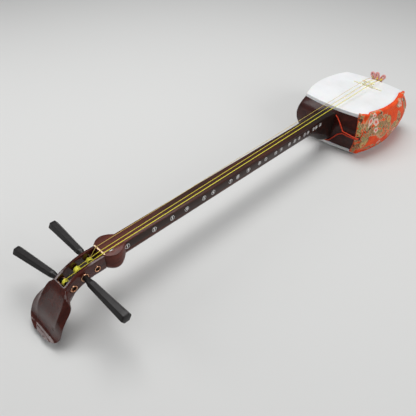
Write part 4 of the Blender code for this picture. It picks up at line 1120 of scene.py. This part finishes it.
def cover_profile(lap, share):
    """(offset, z, share of the outer side) rows round the section, whose height is a share of the whole."""
    inside, outside = COVER_GAP, COVER_GAP + COVER_THICKNESS
    top = COVER_BOTTOM + (BODY_DEPTH - COVER_BOTTOM) * share
    span_z = top - 0.002 - COVER_BOTTOM
    heights = [COVER_BOTTOM + span_z * i / 14 for i in range(15)]
    inner = [(belly(z) + inside, z, 0.0) for z in heights]
    lid = top + COVER_GAP
    inner += [(belly(lid) + inside, lid, 0.0), (belly(lid) - lap, lid, 0.0)]
    outer = [(belly(COVER_BOTTOM) + 0.5 * outside, COVER_BOTTOM - 0.0004, 0.5)]
    for i in range(46):
        z = COVER_BOTTOM + 0.0006 + (span_z - 0.0006) * i / 45
        outer.append((belly(z) + outside, z, 1.0))
    for c, s in arc(7)[1:]:
        z = top - 0.0012 + (COVER_THICKNESS + 0.0014) * s
        outer.append((belly(z) + outside - 0.0030 * (1 - c), z, 1.0))
    for i in range(1, 7):
        t = i / 6
        z = lid + COVER_THICKNESS * (1 - 0.55 * t * t)
        outer.append((belly(z) + 0.0004 - (lap + 0.0004) * t, z, 1.0))
    outer.append((belly(lid) - lap - 0.0003, lid + 0.4 * COVER_THICKNESS, 0.5))
    return inner, outer


def crease(station, z):
    """How far the cloth is folded in at a corner, from 0 for not at all to 1."""
    side, u = station
    away = (1 - abs(u)) * (CORNER_X if side == "near" else CORNER_Y)
    width = 0.0060 * max(0.0, 1 - (BODY_DEPTH - z) / 0.036)
    return max(0.0, 1 - away / width) if width > 0.0 else 0.0


def make_cover(cloth):
    rings = []
    for side, u in cover_stations():
        lap, share = 0.0005, 1.0
        if side == "near":
            lap += COVER_LAP * smoothstep((1 - abs(u) - 0.07) / 0.12)
            sunk = smoothstep((u - 0.92) / 0.08)
            lap -= FLAP_LAP_LOSS * sunk
            share -= FLAP_HEIGHT_LOSS * sunk
        if side == "tail":
            lap -= FLAP_LAP_LOSS
            share -= FLAP_HEIGHT_LOSS + 0.12 * ((1 - abs(u)) * CORNER_Y / COVER_FLAP) ** 1.5
        inner, outer = cover_profile(lap, share)
        ring = []
        for offset, z, share in inner + outer[::-1]:
            base = wall_point(side, u, 0.0, z)
            rumple = noise.fractal(base * 38, 1.0, 2.0, 3) * 0.0007 + noise.noise(base * 130) * 0.00018
            fold = 0.0
            if side != "near":
                away = (base - Vector((base.x, -0.0715, EYELET_Z))).length
                fold = 0.0006 * math.sin(away * 900) * math.exp(-away / 0.014)
            hem = 0.0005 * math.exp(-((z - COVER_BOTTOM - 0.0015) / 0.0016) ** 2)
            tuck = crease((side, u), z)
            bulge = (rumple + fold + hem) * share - 0.0029 * tuck * share
            ring.append(wall_point(side, u, offset + bulge, z))
        rings.append(ring)
    cover = piece("brocade_cover", loft(rings), cloth, replaces=["cloth_cover"], angle=75)
    for sign in (-1, 1):
        centre, axis = eyelet_place(sign)
        rows = [(-0.02, EYELET_RADIUS + GAP), (0.02, EYELET_RADIUS + GAP)]
        cut(cover, loft(turned(rows, centre, axis, sides=40)), angle=75)


def eyelet_place(sign):
    offset = belly(EYELET_Z) + COVER_GAP + COVER_THICKNESS / 2
    u = -(1 - 0.45 * COVER_FLAP / CORNER_Y)
    return wall_point("head" if sign < 0 else "tail", u, offset, EYELET_Z), Vector((sign, 0.0, 0.0))


def make_eyelets(metal_):
    for sign, name in ((-1, "head"), (1, "tail")):
        centre, axis = eyelet_place(sign)
        rows = [(-0.0012, 0.0018), (-0.0012, EYELET_RADIUS), (0.0018, EYELET_RADIUS)]
        rows += [(0.0020 + 0.0014 * s, 0.0030 + 0.0011 * c) for c, s in arc(10, 0, 180)]
        eyelet = loft(turned(rows, centre, axis, sides=32), joined=True)
        piece(f"eyelet_{name}", eyelet, metal_, replaces=[f"cover_eyelet_{name}"])


def cord_wall(y, z, extra=0.0):
    """A point of a cord that lies on the head stave, with extra room under it."""
    u = y / (CORNER_Y + belly(z))
    x = CORNER_X + BULGE_ENDS * (1 - u * u) + belly(z) + CORD_RADIUS + 2 * GAP + extra
    return (-x, y, z)


def make_cords(elastic):
    """Elastic cords, each from its eyelet and back: round the neck's root, and round the end pin."""
    away = NECK_HALF_WIDTH + ROOT_SPREAD + CORD_RADIUS + 3 * GAP
    over = neck_top(ROOT_CORD_X) - GROOVE_DEPTH + CORD_RADIUS + GAP
    under = ROOT_BOTTOM - CORD_RADIUS - 3 * GAP
    start, _ = eyelet_place(-1)
    threaded = ((0.0010, -0.0002), (-0.0044, 0.0002), (-0.0068, 0.0060))
    out, back = ([(start.x + x, start.y + y, EYELET_Z + rise) for (x, y), rise in zip(threaded, rises)]
                 for rises in ((0.0010, 0.0011, 0.0012), (-0.0010, -0.0012, -0.0014)))
    before = ((-0.0600, 0.0520, 0.0024), (-0.0460, 0.0532, 0.0006), (-0.0430, 0.0545, 0.0004),
              (-0.0410, 0.0570, 0.0002), (-0.0310, 0.0690), (-0.0225, 0.0770), (-away, over - 0.0020))
    top = ((ROOT_CORD_X, -0.0120, over), (ROOT_CORD_X, 0.0120, over))
    after = ((away, over - 0.0020), (away + 0.0016, 0.0600), (away + 0.0008, 0.0300, 0.0004),
             (0.0080, under - 0.0006, 0.0004), (-0.0080, under - 0.0006, 0.0004),
             (-away - 0.0030, 0.0270, 0.0004), (-0.0320, 0.0400), (-0.0415, 0.0470, 0.0002),
             (-0.0450, 0.0485, 0.0006), (-0.0600, 0.0475, 0.0024))
    up, down = ([cord_wall(*row) for row in rows] for rows in (before, after))
    route = [*out, *up, *top, *down, *back[::-1]]
    cord = loft(tube(smooth_path(route, 8), BRAID_RADIUS, sides=16))
    piece("cord_head", cord, elastic, replaces=["cover_cord_head"], angle=80)
    start, _ = eyelet_place(1)
    middle_z = sum(PIN_Z) / 2
    turn_radius = math.hypot(PIN_HALF_WIDTH, (PIN_Z[1] - PIN_Z[0]) / 2) + CORD_RADIUS + 2 * GAP
    reach = math.hypot(start.y, start.z - middle_z)
    facing = math.atan2(start.z - middle_z, start.y) % (2 * math.pi)
    spread = math.acos(turn_radius / reach)
    turn = []
    for i in range(11):
        a = facing - spread - 2 * (math.pi - spread) * i / 10
        turn.append(Vector((CORD_TURN_X, turn_radius * math.cos(a), middle_z + turn_radius * math.sin(a))))
    ends = []
    for rise, joint in ((0.0012, turn[0]), (-0.0012, turn[-1])):
        strand = [Vector((start.x - x, start.y + y, EYELET_Z + rise)) for x, y in threaded]
        strand += [strand[-1].lerp(joint, share) for share in (0.4, 0.75, 0.93)]
        ends.append(strand)
    route = ends[0] + turn + ends[1][::-1]
    cord = loft(tube(smooth_path(route, 8), BRAID_RADIUS, sides=16))
    piece("cord_tail", cord, elastic, replaces=["cover_cord_tail"], angle=80)


# ---- The studio ----


def make_studio():
    bm = bmesh.new()
    bmesh.ops.create_grid(bm, x_segments=2, y_segments=2, size=15.0)
    floor = add_object("floor", bpy.data.meshes.new("floor"))
    bm.to_mesh(floor.data)
    bm.free()
    g = Graph("pale_floor", Roughness=0.7, Specular_IOR_Level=0.25)
    g.shader.inputs["Base Color"].default_value = (0.66, 0.66, 0.65, 1.0)
    floor.data.materials.append(g.material)

    world = bpy.data.worlds.new("studio")
    bpy.context.scene.world = world
    world.use_nodes = True
    background = world.node_tree.nodes["Background"].inputs
    background["Color"].default_value = (0.95, 0.97, 1.0, 1.0)
    background["Strength"].default_value = 0.18
    bpy.context.scene.view_settings.view_transform = "Standard"
    for name, place, aim, size, power in (
        ("key", (0.3, 0.5, 2.1), (0.0, 0.0, 0.05), 1.5, 38.0),
        ("back", (-1.3, 1.3, 0.9), (-0.4, 0.0, 0.05), 0.8, 9.0),
        ("front", (0.5, -1.9, 1.1), (0.2, 0.0, 0.05), 1.2, 17.0),
    ):
        light = bpy.data.lights.new(name, "AREA")
        light.size = size
        light.energy = power
        lamp = add_object(name, light)
        lamp.location = place
        lamp.rotation_euler = (Vector(aim) - Vector(place)).to_track_quat("-Z", "Y").to_euler()


def make_camera():
    """Seen from above the head, down the neck to the body."""
    camera = bpy.data.cameras.new("camera")
    camera.lens = 37.71
    holder = add_object("camera", camera)
    holder.location = (-0.5667, -0.4206, 0.5648)
    holder.rotation_euler = (math.radians(48.826), math.radians(-0.719), math.radians(-45.305))
    bpy.context.scene.camera = holder


# ---- Everything ----

make_camera()
make_studio()

body_wood = lacquered_wood("body_wood", (0.022, 0.004, 0.003), (0.066, 0.011, 0.007), 0.30, 0.25)
neck_wood = lacquered_wood("neck_wood", (0.026, 0.009, 0.006), (0.080, 0.024, 0.016), 0.38, 0.12, lobes=True)
root_wood = lacquered_wood("root_wood", (0.022, 0.008, 0.006), (0.066, 0.022, 0.015), 0.32, 0.25, root=True)
head_wood = lacquered_wood("head_wood", (0.022, 0.0045, 0.003), (0.082, 0.014, 0.008), 0.20, 0.5, grain=0.6)
copper = metal("copper", (0.52, 0.25, 0.14), (0.82, 0.48, 0.30), 0.16)
brass = metal("pale_brass", (0.80, 0.56, 0.34), (0.98, 0.76, 0.52), 0.34)
steel = metal("bright_steel", (0.34, 0.34, 0.34), (0.58, 0.58, 0.58), 0.32)
black_metal = metal("black_metal", (0.020, 0.018, 0.016), (0.060, 0.055, 0.050), 0.30)
yellows = (((0.55, 0.46, 0.02), (0.95, 0.84, 0.05)), ((0.50, 0.40, 0.02), (0.88, 0.74, 0.05)),
           ((0.40, 0.28, 0.04), (0.74, 0.56, 0.12)))
silks = [twisted(f"string_silk_{i}", *shades, STRINGS[i - 1][1]) for i, shades in enumerate(yellows, 1)]
coil_silk = twisted("coil_silk", (0.80, 0.74, 0.03), (1.0, 0.98, 0.12), 0.0006)
tail_silk = braided("tail_silk", (0.52, 0.150, 0.150), (0.86, 0.460, 0.430), 0.0036, STEM_RADIUS)
elastic = braided("elastic", (0.46, 0.022, 0.006), (0.92, 0.075, 0.018), 0.0018, CORD_RADIUS)

make_skins(stretched_skin())
make_staves(body_wood)
make_neck(neck_wood, root_wood)
film = printed_film("film", (0.032, 0.014, 0.010), 0.30)
make_numbers(film, printed_film("white_ink", (0.95, 0.95, 0.94), 0.5))
make_head(head_wood, copper)
make_pegs(ebony(), coil_silk)
make_nut(brass)
make_strings(silks)
make_bridge(ivory())
make_tail(tail_silk)
make_cover(brocade())
make_eyelets(black_metal)
make_cords(elastic)
make_sawari(steel)
